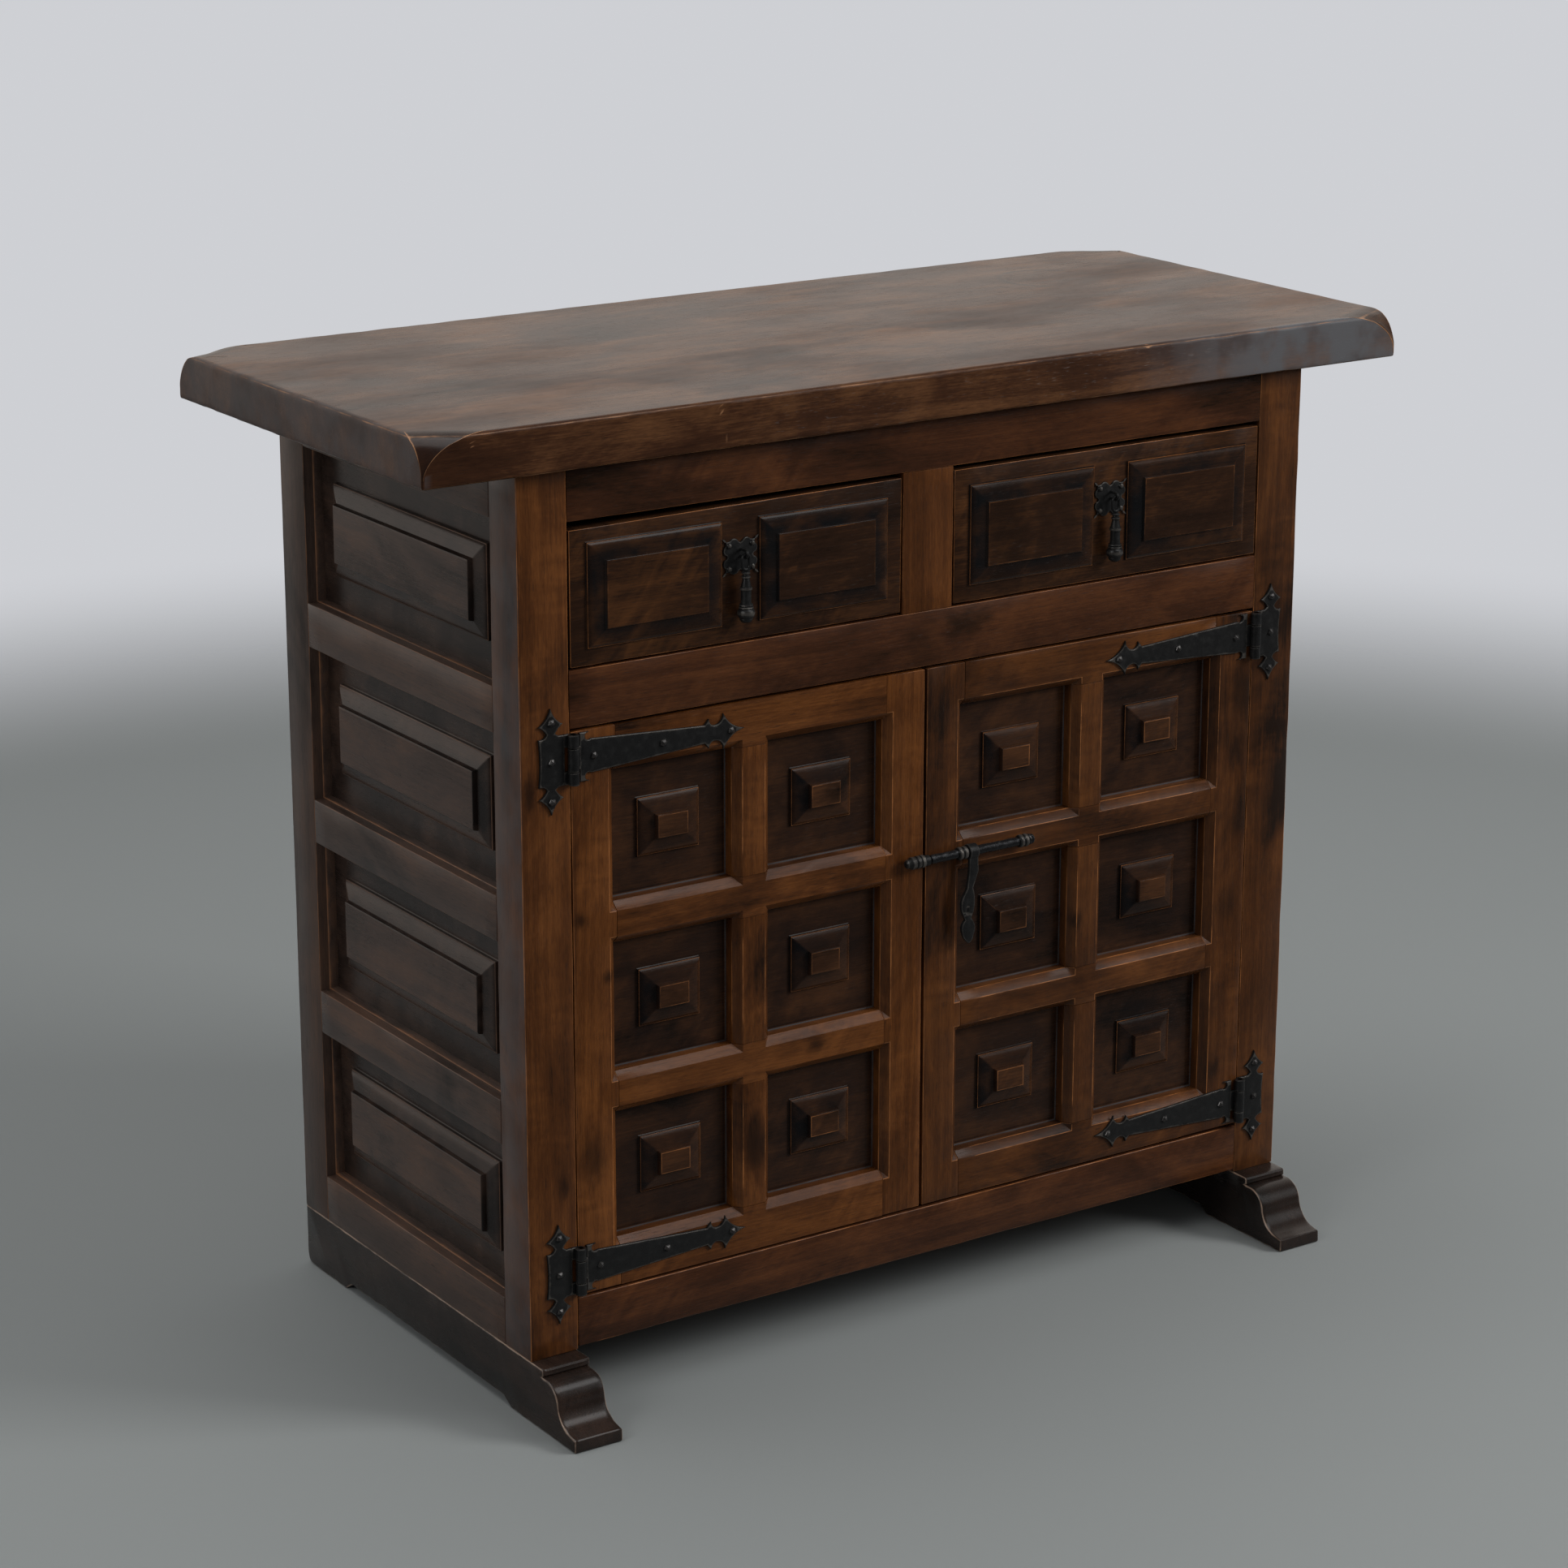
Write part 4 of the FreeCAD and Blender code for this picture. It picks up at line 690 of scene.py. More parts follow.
def makeRelief(name, centre, rings, thick, facing, along, worn, dark, mitreFrom, dusty=None):
    # a raised panel: rings of (half width, half height, rise), from its rim to its flat; the rest is behind it
    put = onFace(centre, facing)
    behind = [(rings[0][0], rings[0][1], -thick)]
    inner = [(rings[-1][0] - 0.9, rings[-1][1] - 0.9, rings[-1][2])]
    loops = []
    for index, (halfWide, halfHigh, rise) in enumerate(behind + rings + inner, -1):
        loop = []
        for spot, (across, up) in enumerate(ringPoints(halfWide, halfHigh)):
            wear = worn.get(index, 0.0)
            # dark is painted shade for each ring, strongest in the recess round the field, with some grime there
            shade = dark[index] if 0 <= index < len(dark) else 0.0
            # a light line down each mitre: painted highlight drawn with the wear colour
            if mitreFrom <= index < len(rings) and spot % 4 == 0:
                wear = max(wear, 0.6)
            # painted shade on the slopes, by the side each faces
            if mitreFrom <= index < len(rings) - 1:
                shade = min(1.0, shade + (slopeShadeBySide[(spot - 1) // 4 % 4] + slopeShadeBySide[spot // 4]) / 2)
            if index == dusty and spot < 9:
                shade = -0.9
            loop.append((put(across, up, rise), wear, shade))
        loops.append(loop)
    mesh = stackRings(loops)
    roughUp(mesh, name, 0.12, 0.25)
    setGrain(mesh, along, name)
    return mesh


def makeFrameRing(name, centre, profile, facing, along):
    # a bead that runs round a rectangle: its profile has (half width, half height, rise, wear) corners, closed
    put = onFace(centre, facing)
    mesh = stackRings([
        [(put(across, up, rise), worn) for across, up in ringPoints(halfWide, halfHigh)]
        for halfWide, halfHigh, rise, worn in profile], looped=True)
    roughUp(mesh, name, 0.1, 0.2)
    setGrain(mesh, along, name)
    return mesh


def insetLoop(points, amounts):
    # a closed outline moved inwards, by an amount of its own at each point; the outline runs anticlockwise
    moved = []
    count = len(points)
    for index, point in enumerate(points):
        before, after = points[index - 1], points[(index + 1) % count]
        first = (point - before).normalized()
        second = (after - point).normalized()
        normal = Vector((-first.y - second.y, first.x + second.x))
        if normal.length < 1e-6:
            normal = Vector((-first.y, first.x))
        normal.normalize()
        bend = max(0.5, normal.dot(Vector((-first.y, first.x))))
        moved.append(point + normal * (amounts[index] / bend))
    return moved


def lineUp(start, end, step):
    count = max(1, round((Vector(end) - Vector(start)).length / step))
    return [Vector(start).lerp(Vector(end), index / count) for index in range(count)]


def arcBetween(start, through, end, count=None, step=1.5):
    # points on the arc through three points, both ends with them
    a, b, c = Vector(start), Vector(through), Vector(end)
    turn = (b.x - a.x) * (c.y - a.y) - (b.y - a.y) * (c.x - a.x)
    aa, bb, cc = a.dot(a), b.dot(b), c.dot(c)
    centre = Vector((
        (aa * (b.y - c.y) + bb * (c.y - a.y) + cc * (a.y - b.y)) / (2.0 * turn),
        (aa * (c.x - b.x) + bb * (a.x - c.x) + cc * (b.x - a.x)) / (2.0 * turn)))
    radius = (a - centre).length
    first = math.atan2(a.y - centre.y, a.x - centre.x)
    last = math.atan2(c.y - centre.y, c.x - centre.x)
    if turn > 0 and last < first:
        last += math.tau
    if turn < 0 and last > first:
        last -= math.tau
    count = count or max(3, round(abs(last - first) * radius / step))
    angles = [first + (last - first) * index / count for index in range(count + 1)]
    return [centre + radius * Vector((math.cos(angle), math.sin(angle))) for angle in angles]


def outlineFrom(steps, wide=1.0, high=1.0, step=1.5):
    # a closed outline from corners, each reached by a line or by an arc through a point
    points = []
    corners = [(pair[-2] * wide, pair[-1] * high) for pair in steps]
    for index, pair in enumerate(steps):
        start, end = corners[index - 1], corners[index]
        if len(pair) == 2:
            points += lineUp(start, end, step)
        else:
            points += arcBetween(start, (pair[0] * wide, pair[1] * high), end, step=step)[:-1]
    area = sum(p.x * q.y - q.x * p.y for p, q in zip(points, points[1:] + points[:1]))
    return points if area > 0 else points[::-1]


def makePlate(name, outline, spot, thick, hammer=0.22, crown=0.0, soft=0.6, grid=3.0, holes=()):
    # a forged plate: spot(across, up, rise) puts a point of it in the room; its back is at rise 0
    mesh = newMesh()
    wear = mesh.verts.layers.float["wear"]
    dice = seeded(name, "plate")
    start = anyShift(dice)
    loops = [outline, *holes]
    points, verts, backs, edges = [], [], [], []
    for loop in loops:
        inner = insetLoop(loop, [soft] * len(loop))
        rings = []
        for places, rise, worn in ((loop, 0.0, 0.0), (loop, thick - soft * 0.8, 0.5), (inner, thick, 1.0)):
            rings.append([mesh.verts.new(spot(place.x, place.y, rise)) for place in places])
            for vert in rings[-1]:
                vert[wear] = worn
        bridge(mesh, rings)
        first = len(points)
        edges += [(first + index, first + (index + 1) % len(inner)) for index in range(len(inner))]
        points += inner
        verts += rings[-1]
        backs += rings[0]
    rim = len(points)
    low = Vector((min(point.x for point in points), min(point.y for point in points)))
    high = Vector((max(point.x for point in points), max(point.y for point in points)))
    up = low.y + grid * 0.5
    row = 0
    while up < high.y:
        across = low.x + grid * (0.5 if row % 2 else 1.0)
        while across < high.x:
            here = Vector((across, up)) + Vector((dice.uniform(-0.3, 0.3), dice.uniform(-0.3, 0.3))) * grid * 0.5
            if min((here - point).length for point in points[:rim]) > grid * 0.55 and isInside(here, loops):
                points.append(here)
            across += grid
        up += grid * 0.87
        row += 1
    found = geometry.delaunay_2d_cdt(points, edges, [], 2, 1e-4)
    placed = {}
    for index, origins in enumerate(found[3]):
        if origins and origins[0] < rim:
            placed[index] = verts[origins[0]]
            continue
        point = found[0][index]
        near = min((point - other).length for other in points[:rim])
        here = Vector((point.x, point.y, 0.0)) + start
        rise = thick + crown * min(1.0, near / 5.0)
        rise += (noise.noise(here / 5.5) + 0.5 * noise.noise(here / 2.2)) * hammer * min(1.0, near / 2.0)
        placed[index] = mesh.verts.new(spot(point.x, point.y, rise))
    flat = geometry.delaunay_2d_cdt(points[:rim], edges, [], 2, 1e-4)
    under = {index: backs[origins[0]] for index, origins in enumerate(flat[3]) if origins}
    for faces, corner, turn in ((found[2], placed, 1), (flat[2], under, -1)):
        for face in faces:
            corners = [corner.get(index) for index in face]
            if None not in corners and len(set(corners)) == len(corners):
                mesh.faces.new(corners[::turn])
    bmesh.ops.recalc_face_normals(mesh, faces=mesh.faces)
    setGrain(mesh, "x", name)
    return mesh


def isInside(point, loops):
    crossings = 0
    for loop in loops:
        for first, second in zip(loop, loop[1:] + loop[:1]):
            if (first.y > point.y) != (second.y > point.y):
                across = first.x + (point.y - first.y) / (second.y - first.y) * (second.x - first.x)
                crossings += across > point.x
    return crossings % 2 == 1


def roundRing(centre, side, other, radius, segments, shift, grid, rough, worn):
    ring = []
    for index in range(segments):
        angle = math.tau * index / segments
        out = side * math.cos(angle) + other * math.sin(angle)
        spot = centre + out * radius
        ring.append((spot + out * noise.noise((spot + shift) / grid) * rough, worn))
    return ring


def makeTurned(name, start, direction, profile, segments=22, hollow=False, rough=0.08):
    # a turned piece: its profile has (along, radius, wear) points; a hollow one has a closed profile
    axis = Vector(direction).normalized()
    side = axis.orthogonal().normalized()
    other = axis.cross(side)
    shift = anyShift(seeded(name, "turned"))
    mesh = stackRings([
        roundRing(Vector(start) + axis * along, side, other, radius, segments, shift, 3.5, rough, worn)
        for along, radius, worn in profile], hollow)
    setGrain(mesh, "x", name)
    return mesh


def makeWire(name, path, radius, closed=False, segments=12, rough=0.1):
    # round wire along a path
    shift = anyShift(seeded(name, "wire"))
    path = [Vector(point) for point in path]
    count = len(path)
    rings = []
    for index in range(count):
        before = path[index - 1] if closed or index else path[0]
        after = path[(index + 1) % count] if closed or index < count - 1 else path[-1]
        tangent = (after - before).normalized()
        if index == 0:
            normal = tangent.orthogonal().normalized()
        normal = (normal - tangent * normal.dot(tangent)).normalized()
        other = tangent.cross(normal)
        rings.append(roundRing(path[index], normal, other, radius, segments, shift, 2.5, rough, 0.4))
    mesh = stackRings(rings, closed)
    setGrain(mesh, "x", name)
    return mesh


setUpRoom()
hands = {"left": -1, "right": 1}
case = {"front": -171.0, "back": 242.0, "half": 406.75}


# top slab, carved at its corners
slab = {
    "long": 59.0, "deep": 32.0, "tall": 38.0, "bulge": 0.53, "topRound": 4.2, "bottomRound": 2.2,
    "alongCount": 150, "sideCount": 50, "arcCount": 16, "arcEnd": 1.6, "wobble": (0.35, 24.0), "levels": (2.2, 1.2),
    "topLevels": 16.0, "flats": (0.99, 0.965), "rough": (0.18, 0.5),
    # how the front greys towards its right end, and how grey the ends are: partly painted grey sheen, partly varnish
    # haze
    "haze": (150.0, 380.0, 1.0), "endSheenAndHaze": 0.42,
    "scars": ((-224.0, 859.0, 9.0), (-221.0, 835.0, 6.5), (-455.0, 857.0, 5.0), (215.0, 864.0, 4.0))}


def makeSlab():
    low, high = boxOf("top_slab")

    def straight(first, second, count):
        gap = (second - first).normalized() * slab["arcEnd"]
        between = [(first + gap).lerp(second - gap, index / count) for index in range(1, count)]
        return [first + gap, *between, second - gap]

    def outline(height):
        share = (height - (high.z - slab["tall"])) / slab["tall"]
        away = 1.0 - math.sqrt(max(0.0, 1.0 - max(0.0, share) ** 2))
        long, deep = max(1.2, slab["long"] * away), max(1.2, slab["deep"] * away)

        def corner(x, y, handX, handY):
            ends = [Vector((x - handX * long, y)), Vector((x, y - handY * deep))]
            middle = Vector((x - handX * long * slab["bulge"], y - handY * deep * slab["bulge"]))
            points = arcBetween(ends[0], middle, ends[1], slab["arcCount"])
            return points if handX * handY < 0 else points[::-1]

        corners = [
            corner(low.x, low.y, -1, -1), corner(high.x, low.y, 1, -1),
            corner(high.x, high.y, 1, 1), corner(low.x, high.y, -1, 1)]
        points, arris, carved = [], [], []
        for index, arc in enumerate(corners):
            points += arc
            arris += [1.0, 0.5] + [0.0] * (len(arc) - 4) + [0.5, 1.0]
            # painted shade on the carved corner facets
            carved += [0.4] + [0.85] * (len(arc) - 2) + [0.4]
            count = slab["alongCount"] if index % 2 == 0 else slab["sideCount"]
            stretchHere = straight(arc[-1], corners[(index + 1) % 4][0], count)
            points += stretchHere
            arris += [0.5] + [0.0] * (len(stretchHere) - 2) + [0.5]
            carved += [0.0] * len(stretchHere)
        lively = 1.0 if away > 0.004 else 0.3
        return points, [value * lively for value in arris], [value * lively for value in carved]

    rings = []

    def addRing(height, rounding, angle, worn, up):
        most, grid = slab["wobble"]
        points, arris, carved = outline(height)
        amounts, drops = [], []
        for point in points:
            radius = rounding * (1.0 + most * noise.noise(Vector((point.x, point.y, up)) / grid))
            amounts.append(radius * (1.0 - math.cos(angle)) + 0.02)
            drops.append(radius * (1.0 - math.sin(angle)))
        moved = insetLoop(points, amounts)
        end = high.z if up > 0 else low.z
        base = [end - up * drop if worn is not None else height for drop in drops]
        rings.append([
            (Vector((point.x, point.y, level)), max(edge, worn or 0.0), dark)
            for point, level, edge, dark in zip(moved, base, arris, carved)])

    for degrees in (90, 55, 25):
        angle = math.radians(degrees)
        height = low.z + slab["bottomRound"] * (1 - math.sin(angle))
        addRing(height, slab["bottomRound"], angle, 1.0 if degrees == 55 else 0.4, -1)
    level = low.z + slab["bottomRound"] * 1.5
    while level < high.z - slab["topRound"] * 1.6:
        addRing(level, 0.0, 0.0, None, 1)
        level += slab["levels"][level >= high.z - slab["topLevels"]]
    for degrees in range(0, 91, 10):
        angle = math.radians(degrees)
        worn = 0.8 if 30 <= degrees <= 40 else 0.12
        addRing(high.z - slab["topRound"] * (1 - math.sin(angle)), slab["topRound"], angle, worn, 1)
    middle = (low + high) / 2
    for share in slab["flats"]:
        rings.append([
            (Vector((middle.x + (place.x - middle.x) * share, middle.y + (place.y - middle.y) * share, high.z)), 0.0)
            for place, *_ in rings[-1]])
    mesh = stackRings(rings)
    wear, shade = mesh.verts.layers.float["wear"], mesh.verts.layers.float["shade"]
    for edge in mesh.edges:
        first, second = (vert.co for vert in edge.verts)
        upright = abs(first.z - second.z) > 0.5 * (first - second).length
        if upright and all(vert[wear] > 0.8 for vert in edge.verts):
            edge.smooth = False
    start, end, most = slab["haze"]
    for vert in mesh.verts:
        if vert.co.z > high.z - 1.0 and vert[wear] == 0.0:
            continue
        # painted grey sheen with varnish haze: growing towards the right of the front, and on the ends
        if vert.co.y < low.y + 5.0 and vert[shade] == 0.0:
            share = min(1.0, max(0.0, (vert.co.x - start) / (end - start)))
            vert[shade] = -most * share * share * (3.0 - 2.0 * share)
        if min(vert.co.x - low.x, high.x - vert.co.x) < 3.0 and vert[shade] == 0.0:
            vert[shade] = -slab["endSheenAndHaze"]
        for x, z, reach in slab["scars"]:
            gap = math.hypot((vert.co.x - x) * 2.0, vert.co.z - z)
            if vert.co.y < low.y + 6.0 and gap < reach:
                vert[wear] = max(vert[wear], 1.15 - 0.5 * gap / reach)
    roughUp(mesh, "slab", *slab["rough"])
    keepIn(mesh, low, high)
    setGrain(mesh, "x", "slab")
    return mesh


makePiece("slab", makeSlab(), "slabWood", "case", ["top_slab"], 35.0)
print("slab made")


# sled feet
toe = [
    (0, 1), (-0.215, 1), (-0.252, 0.985, -0.258, 0.93), (-0.255, 0.885, -0.232, 0.872), (-0.3, 0.872),
    (-0.51, 0.79, -0.6, 0.6), (-0.668, 0.385, -0.87, 0.237), (-0.965, 0.215), (-0.992, 0.208, -1, 0.175),
    (-1, 0.04), (-0.99, 0.008, -0.965, 0)]
sled = {
    "reach": 71.0, "tall": 56.8, "round": 1.9, "rear": 9.0, "relief": 7.4, "wobble": (0.5, 11.0), "firstGap": 5.0,
    "gap": 6.2, "rough": (0.22, 0.6)}


def makeSled(side):
    low, high = boxOf(f"sled_{side}")
    deep, tall, rear = case["back"] - case["front"], sled["tall"], sled["rear"]
    steps = [tuple(share * (sled["reach"], tall)[index % 2] for index, share in enumerate(step)) for step in toe]
    steps += [
        (deep * 0.087, 0), (deep * 0.117, sled["relief"]), (deep * 0.79, sled["relief"]), (deep * 0.82, 0),
        (deep - rear, 0), (deep - rear * 0.293, rear * 0.293, deep, rear), (deep, tall)]
    outline = outlineFrom(steps, step=2.2)
    width = high.x - low.x
    most, grid = sled["wobble"]
    # the places of its sections: angles round its two edges, and distances between them
    spots = [(math.radians(degrees), -1) for degrees in (90, 60, 30, 0)]
    across = sled["firstGap"]
    while across < width - 4.0:
        spots.append((across, 0))
        across += sled["gap"]
    spots += [(math.radians(degrees), 1) for degrees in (0, 30, 60, 90)]
    rings = []
    for spot, end in spots:
        amounts, places = [], []
        for point in outline:
            wobble = noise.noise(Vector((point.x, point.y, 40.0 * end + (7.0 if side == "left" else 31.0))) / grid)
            radius = sled["round"] * (1.0 + most * wobble)
            if end:
                amounts.append(radius * (1.0 - math.cos(spot)))
                shift = radius * (1.0 - math.sin(spot))
                places.append(low.x + shift if end < 0 else high.x - shift)
            else:
                amounts.append(0.0)
                places.append(low.x + spot)
        moved = insetLoop(outline, amounts)
        worn = (0.9 if 0.2 < spot < 1.3 else 0.3) if end else 0.0
        ring = []
        for point, base, x in zip(moved, outline, places):
            crest = 0.45 if not end and base.x < 1.0 and (base.y > tall * 0.93 or base.x < -66.0) else 0.0
            ring.append((Vector((x, case["front"] + point.x, max(0.0, point.y))), max(worn, crest)))
        rings.append(ring)
    mesh = stackRings(rings)
    roughUp(mesh, f"sled {side}", *sled["rough"])
    keepIn(mesh, low, high)
    setGrain(mesh, "y", f"sled {side}")
    return mesh


for side in hands:
    makePiece(f"sled.{side}", makeSled(side), "sledWood", "case", [f"sled_{side}"], 40.0)
print("sled feet made")


# posts, front rails and divider
darker = {"left": 0.0, "right": 0.38}  # how much darker the right door and post are made


def addBoard(name, node, along, material, body="case", facing="-y", **more):
    low, high = boxOf(node)
    makePiece(name, makeBoard(name, low, high, along, facing, **more), material, body, [node])


for side in hands:
    low, high = boxOf(f"post_front_{side}")
    post = makeBoard(f"post.front.{side}", low, high, "z", "-y", soft=1.3, dent=0.8, shade=darker[side])
    for vert in post.verts:
        if abs(vert.co.x) > case["half"] - 0.5:
            vert[post.verts.layers.float["shade"]] = -0.45  # painted grey sheen: its outer side is greyer than its front
    makePiece(f"post.front.{side}", post, "frontWood", "case", [f"post_front_{side}"])
    addBoard(f"post.rear.{side}", f"post_rear_{side}", "z", "sideWood", soft=1.2)
addBoard("rail.top", "front_top_rail", "x", "railWood", soft=0.9, tight="ends")
addBoard("rail.middle", "front_middle_rail", "x", "railWood", soft=0.9, tight="ends")
addBoard("rail.bottom", "front_bottom_rail", "x", "railWood", soft=1.4, dent=0.9, tight="ends")
addBoard("divider", "drawer_divider", "z", "frontWood", soft=0.8, tight="ends")


# side frames: rails, beads and raised panels
sideFrame = {
    "near": -127.0, "far": 198.0, "recess": 9.0, "depth": 9.0, "proud": 1.2, "seat": 4.8, "border": 29.0, "step": 4.0,
    "slope": 17.0, "rise": 9.5, "rim": 0.9, "thick": 6.4,
    # dark: painted shade for each ring, strongest in the recess round the field, with some grime there
    "dark": (0.95, 0.85, 0.75, 0.95, 0.6, 0.05, 0.1, 0.15, 0.1, 0.15, 0.2, 0.3, 0.4, 0.5, 0.7, 0.7, 0.5, 0.2)}

# how a raised field's slope runs in and rises: rounded up from its rim, then flatter, then steep up to the flat
blockSlope = (
    (0.0, 0.0), (0.03, 0.05), (0.08, 0.12), (0.14, 0.18), (0.24, 0.245), (0.40, 0.33), (0.60, 0.43), (0.84, 0.54))
drawerSlope = (
    (0.0, 0.0), (0.04, 0.12), (0.10, 0.24), (0.18, 0.34), (0.30, 0.42), (0.50, 0.51), (0.70, 0.59), (0.84, 0.65))
flatSide = ((0.89, 0.92), (0.905, 0.965), (0.93, 0.99), (0.955, 1.0))


def grown(size, steps):
    # rings round a rectangle with the given half sizes: how far out each runs, and its rise
    return [(size[0] + out, size[1] + out, rise) for out, rise in steps]


def slopeRings(size, look, shares=blockSlope):
    rim = look["rim"]
    slope = look["slope"] - rim
    return [
        (size[0] - rim - slope * run, size[1] - rim - slope * run, look["step"] + look["rise"] * up)
        for run, up in shares + flatSide]


def makeSideFrame(side, hand):
    facing = "+x" if hand > 0 else "-x"
    seat, proud, depth, step = (sideFrame[key] for key in ("seat", "proud", "depth", "step"))
    for index, (low, high) in enumerate(solidBoxes(f"side_rails_{side}")):
        low.y, high.y = sideFrame["near"], sideFrame["far"]
        name = f"side.{side}.rail.{index}"
        rail = makeBoard(name, low, high, "y", facing, tight="ends")
        makePiece(name, rail, "sideWood", "case", [f"side_rails_{side}"])
    for index, (low, high) in enumerate(solidBoxes(f"side_panels_{side}")):
        size = ((high.y - low.y) / 2 - seat, (high.z - low.z) / 2 - seat)
        centre = (low + high) / 2
        centre.x = hand * (case["half"] - sideFrame["recess"])
        profile = [(size[0] + out, size[1] + out, rise, worn) for out, rise, worn in (
            (seat, -0.4, 0.0), (0.6, -0.4, 0.3), (0.0, -0.15, 0.5), (0.5 - proud, -0.3, 1.0), (-proud, -1.0, 0.8),
            (-proud, -depth, 0.0), (seat, -depth, 0.0))]
        name = f"side.{side}.bead.{index}"
        makePiece(name, makeFrameRing(name, centre, profile, facing, "y"), "sideWood", "case", [f"side_beads_{side}"])
        centre.x = hand * (case["half"] - sideFrame["recess"] - depth)
        base = (size[0] - sideFrame["border"], size[1] - sideFrame["border"])
        rings = grown(size, ((seat, 0.0), (-2.0, 0.0)))
        rings += grown(base, ((0.8, 0.0), (0.0, 0.7), (0.0, step - 0.6), (-0.5, step)))
        rings += slopeRings(base, sideFrame)
        name = f"side.{side}.panel.{index}"
        worn = {5: 1.0, len(rings) - 1: 0.8}
        relief = makeRelief(name, centre, rings, sideFrame["thick"], facing, "y", worn, sideFrame["dark"], 6)
        makePiece(name, relief, "sideWood", "case", [f"side_panels_{side}"], 30.0)


for side, hand in hands.items():
    makeSideFrame(side, hand)
print("case frame made")


# boards inside and behind: the way their grain runs and the way they look
innerBoards = {
    "back_boards": ("z", "+y"), "back_rails": ("x", "+y"), "drawer_deck": ("x", "+z"), "bottom_board": ("x", "+z"),
    "shelf": ("x", "+z"), "shelf_cleats": ("y", "-x"), "drawer_guides": ("y", "-x"), "slab_cleats": ("y", "-x"),
    "door_stop": ("x", "-y")}
drawerBox = {"wall": 12.0, "backLift": 4.5}


def addInner(node, index, low, high, along, facing):
    name = f"{node}.{index}"
    body = "_".join(node.split("_")[:2]) if node.split("_")[0] in hands else "case"
    makePiece(name, makeBoard(name, low, high, along, facing, soft=0.8, step=60.0), "innerWood", body, [node])


def addSolids(node, along, facing):
    for index, (low, high) in enumerate(solidBoxes(node)):
        addInner(node, index, low, high, along, facing)


for node, (along, facing) in innerBoards.items():
    addSolids(node, along, facing)
for side in hands:
    addSolids(f"{side}_drawer_bottom", "x", "+z")
    low, high = boxOf(f"{side}_drawer_walls")
    first, last = low.x + drawerBox["wall"], high.x - drawerBox["wall"]
    behind = Vector((first, high.y - drawerBox["wall"], low.z + drawerBox["backLift"]))
    walls = (
        (low, Vector((first, high.y, high.z)), "y", "-x"), (Vector((last, low.y, low.z)), high, "y", "+x"),
        (behind, Vector((last, high.y, high.z)), "x", "-y"))
    for index, wall in enumerate(walls):
        addInner(f"{side}_drawer_walls", index, *wall)
print("inner boards made")


# doors
door = {
    "low": 107.0, "high": 604.1, "thick": 25.0, "outer": 42.5, "meeting": 40.0, "muntin": 37.0, "top": 40.0,
    "rail": 36.5, "bottom": 41.5, "chamfer": 7.0, "recess": 16.0, "seat": 4.8, "block": (61.0, 51.0), "step": 2.5,
    "slope": 17.0, "rise": 8.5, "rim": 0.8, "panelThick": 6.9,
    # dark: painted shade for each ring, strongest in the recess round the field, with some grime there
    "dark": (0.75, 0.8, 0.8, 0.4, 0.65, 0.9, 0.5, 0.15, 0.2, 0.2, 0.2, 0.25, 0.3, 0.35, 0.4, 0.3, 0.1)}
doorEdges = {"left": (-358.95, -5.2), "right": (-2.2, 358.95)}


def makeDoor(side):
    start, end = doorEdges[side]
    wide = (door["outer"], door["meeting"]) if side == "left" else (door["meeting"], door["outer"])
    opening = (end - start - wide[0] - wide[1] - door["muntin"]) / 2
    tall = (door["high"] - door["low"] - door["top"] - door["bottom"] - 2 * door["rail"]) / 3
    first = start + wide[0]
    second = first + opening + door["muntin"]
    columns = [(first, first + opening), (second, second + opening)]
    rows = [door["low"] + door["bottom"] + index * (tall + door["rail"]) for index in range(3)]
    rows = [(low, low + tall) for low in rows]
    near, far = case["front"], case["front"] + door["thick"]

    def addPart(part, index, across, up, along, zones, tight):
        name = f"{side}.door.{part}.{index}"
        low, high = Vector((across[0], near, up[0])), Vector((across[1], far, up[1]))
        mesh = makeBoard(
            name, low, high, along, "-y", zones, door["chamfer"], dent=0.35, shade=darker[side], tight=tight)
        makePiece(name, mesh, "frontWood", f"{side}_door", [f"{side}_door_{part}s"])

    for index, (across, edge) in enumerate((((start, columns[0][0]), 1), ((columns[1][1], end), -1))):
        zones = [(low - door["low"], high - door["low"], edge) for low, high in rows]
        addPart("stile", index, across, (door["low"], door["high"]), "z", zones, "edges")
    levels = [door["low"]] + [level for row in rows for level in row] + [door["high"]]
    for index in range(4):
        sides = ([1] if index < 3 else []) + ([-1] if index > 0 else [])
        zones = [(one - columns[0][0], other - columns[0][0], edge) for one, other in columns for edge in sides]
        addPart("rail", index, (columns[0][0], columns[1][1]), levels[2 * index:2 * index + 2], "x", zones, "ends")
    for index, row in enumerate(rows):
        addPart("muntin", index, (columns[0][1], columns[1][0]), row, "z", [(0.0, tall, -1), (0.0, tall, 1)], "ends")
    base = (door["block"][0] / 2, door["block"][1] / 2)
    for across, (one, other) in enumerate(columns):
        for up, (low, high) in enumerate(rows):
            name = f"{side}.door.panel.{across}.{up}"
            rings = grown(((other - one) / 2, (high - low) / 2), (
                (door["seat"], 0.0), (-0.8, 0.0), (-2.6, 0.0), (-4.5, 0.0)))
            rings += grown(base, ((0.7, 0.0), (0.0, 0.6), (0.0, door["step"] - 0.5), (-0.4, door["step"])))
            rings += slopeRings(base, door)
            worn = {7: 1.0, len(rings) - 2: 0.65, len(rings) - 1: 0.88}
            centre = ((one + other) / 2, near + door["recess"], (low + high) / 2)
            relief = makeRelief(name, centre, rings, door["panelThick"], "-y", "x", worn, door["dark"], 8, dusty=1)
            makePiece(name, relief, "panelWood", f"{side}_door", [f"{side}_door_panels"], 30.0)


for side in hands:
    makeDoor(side)
print("doors made")


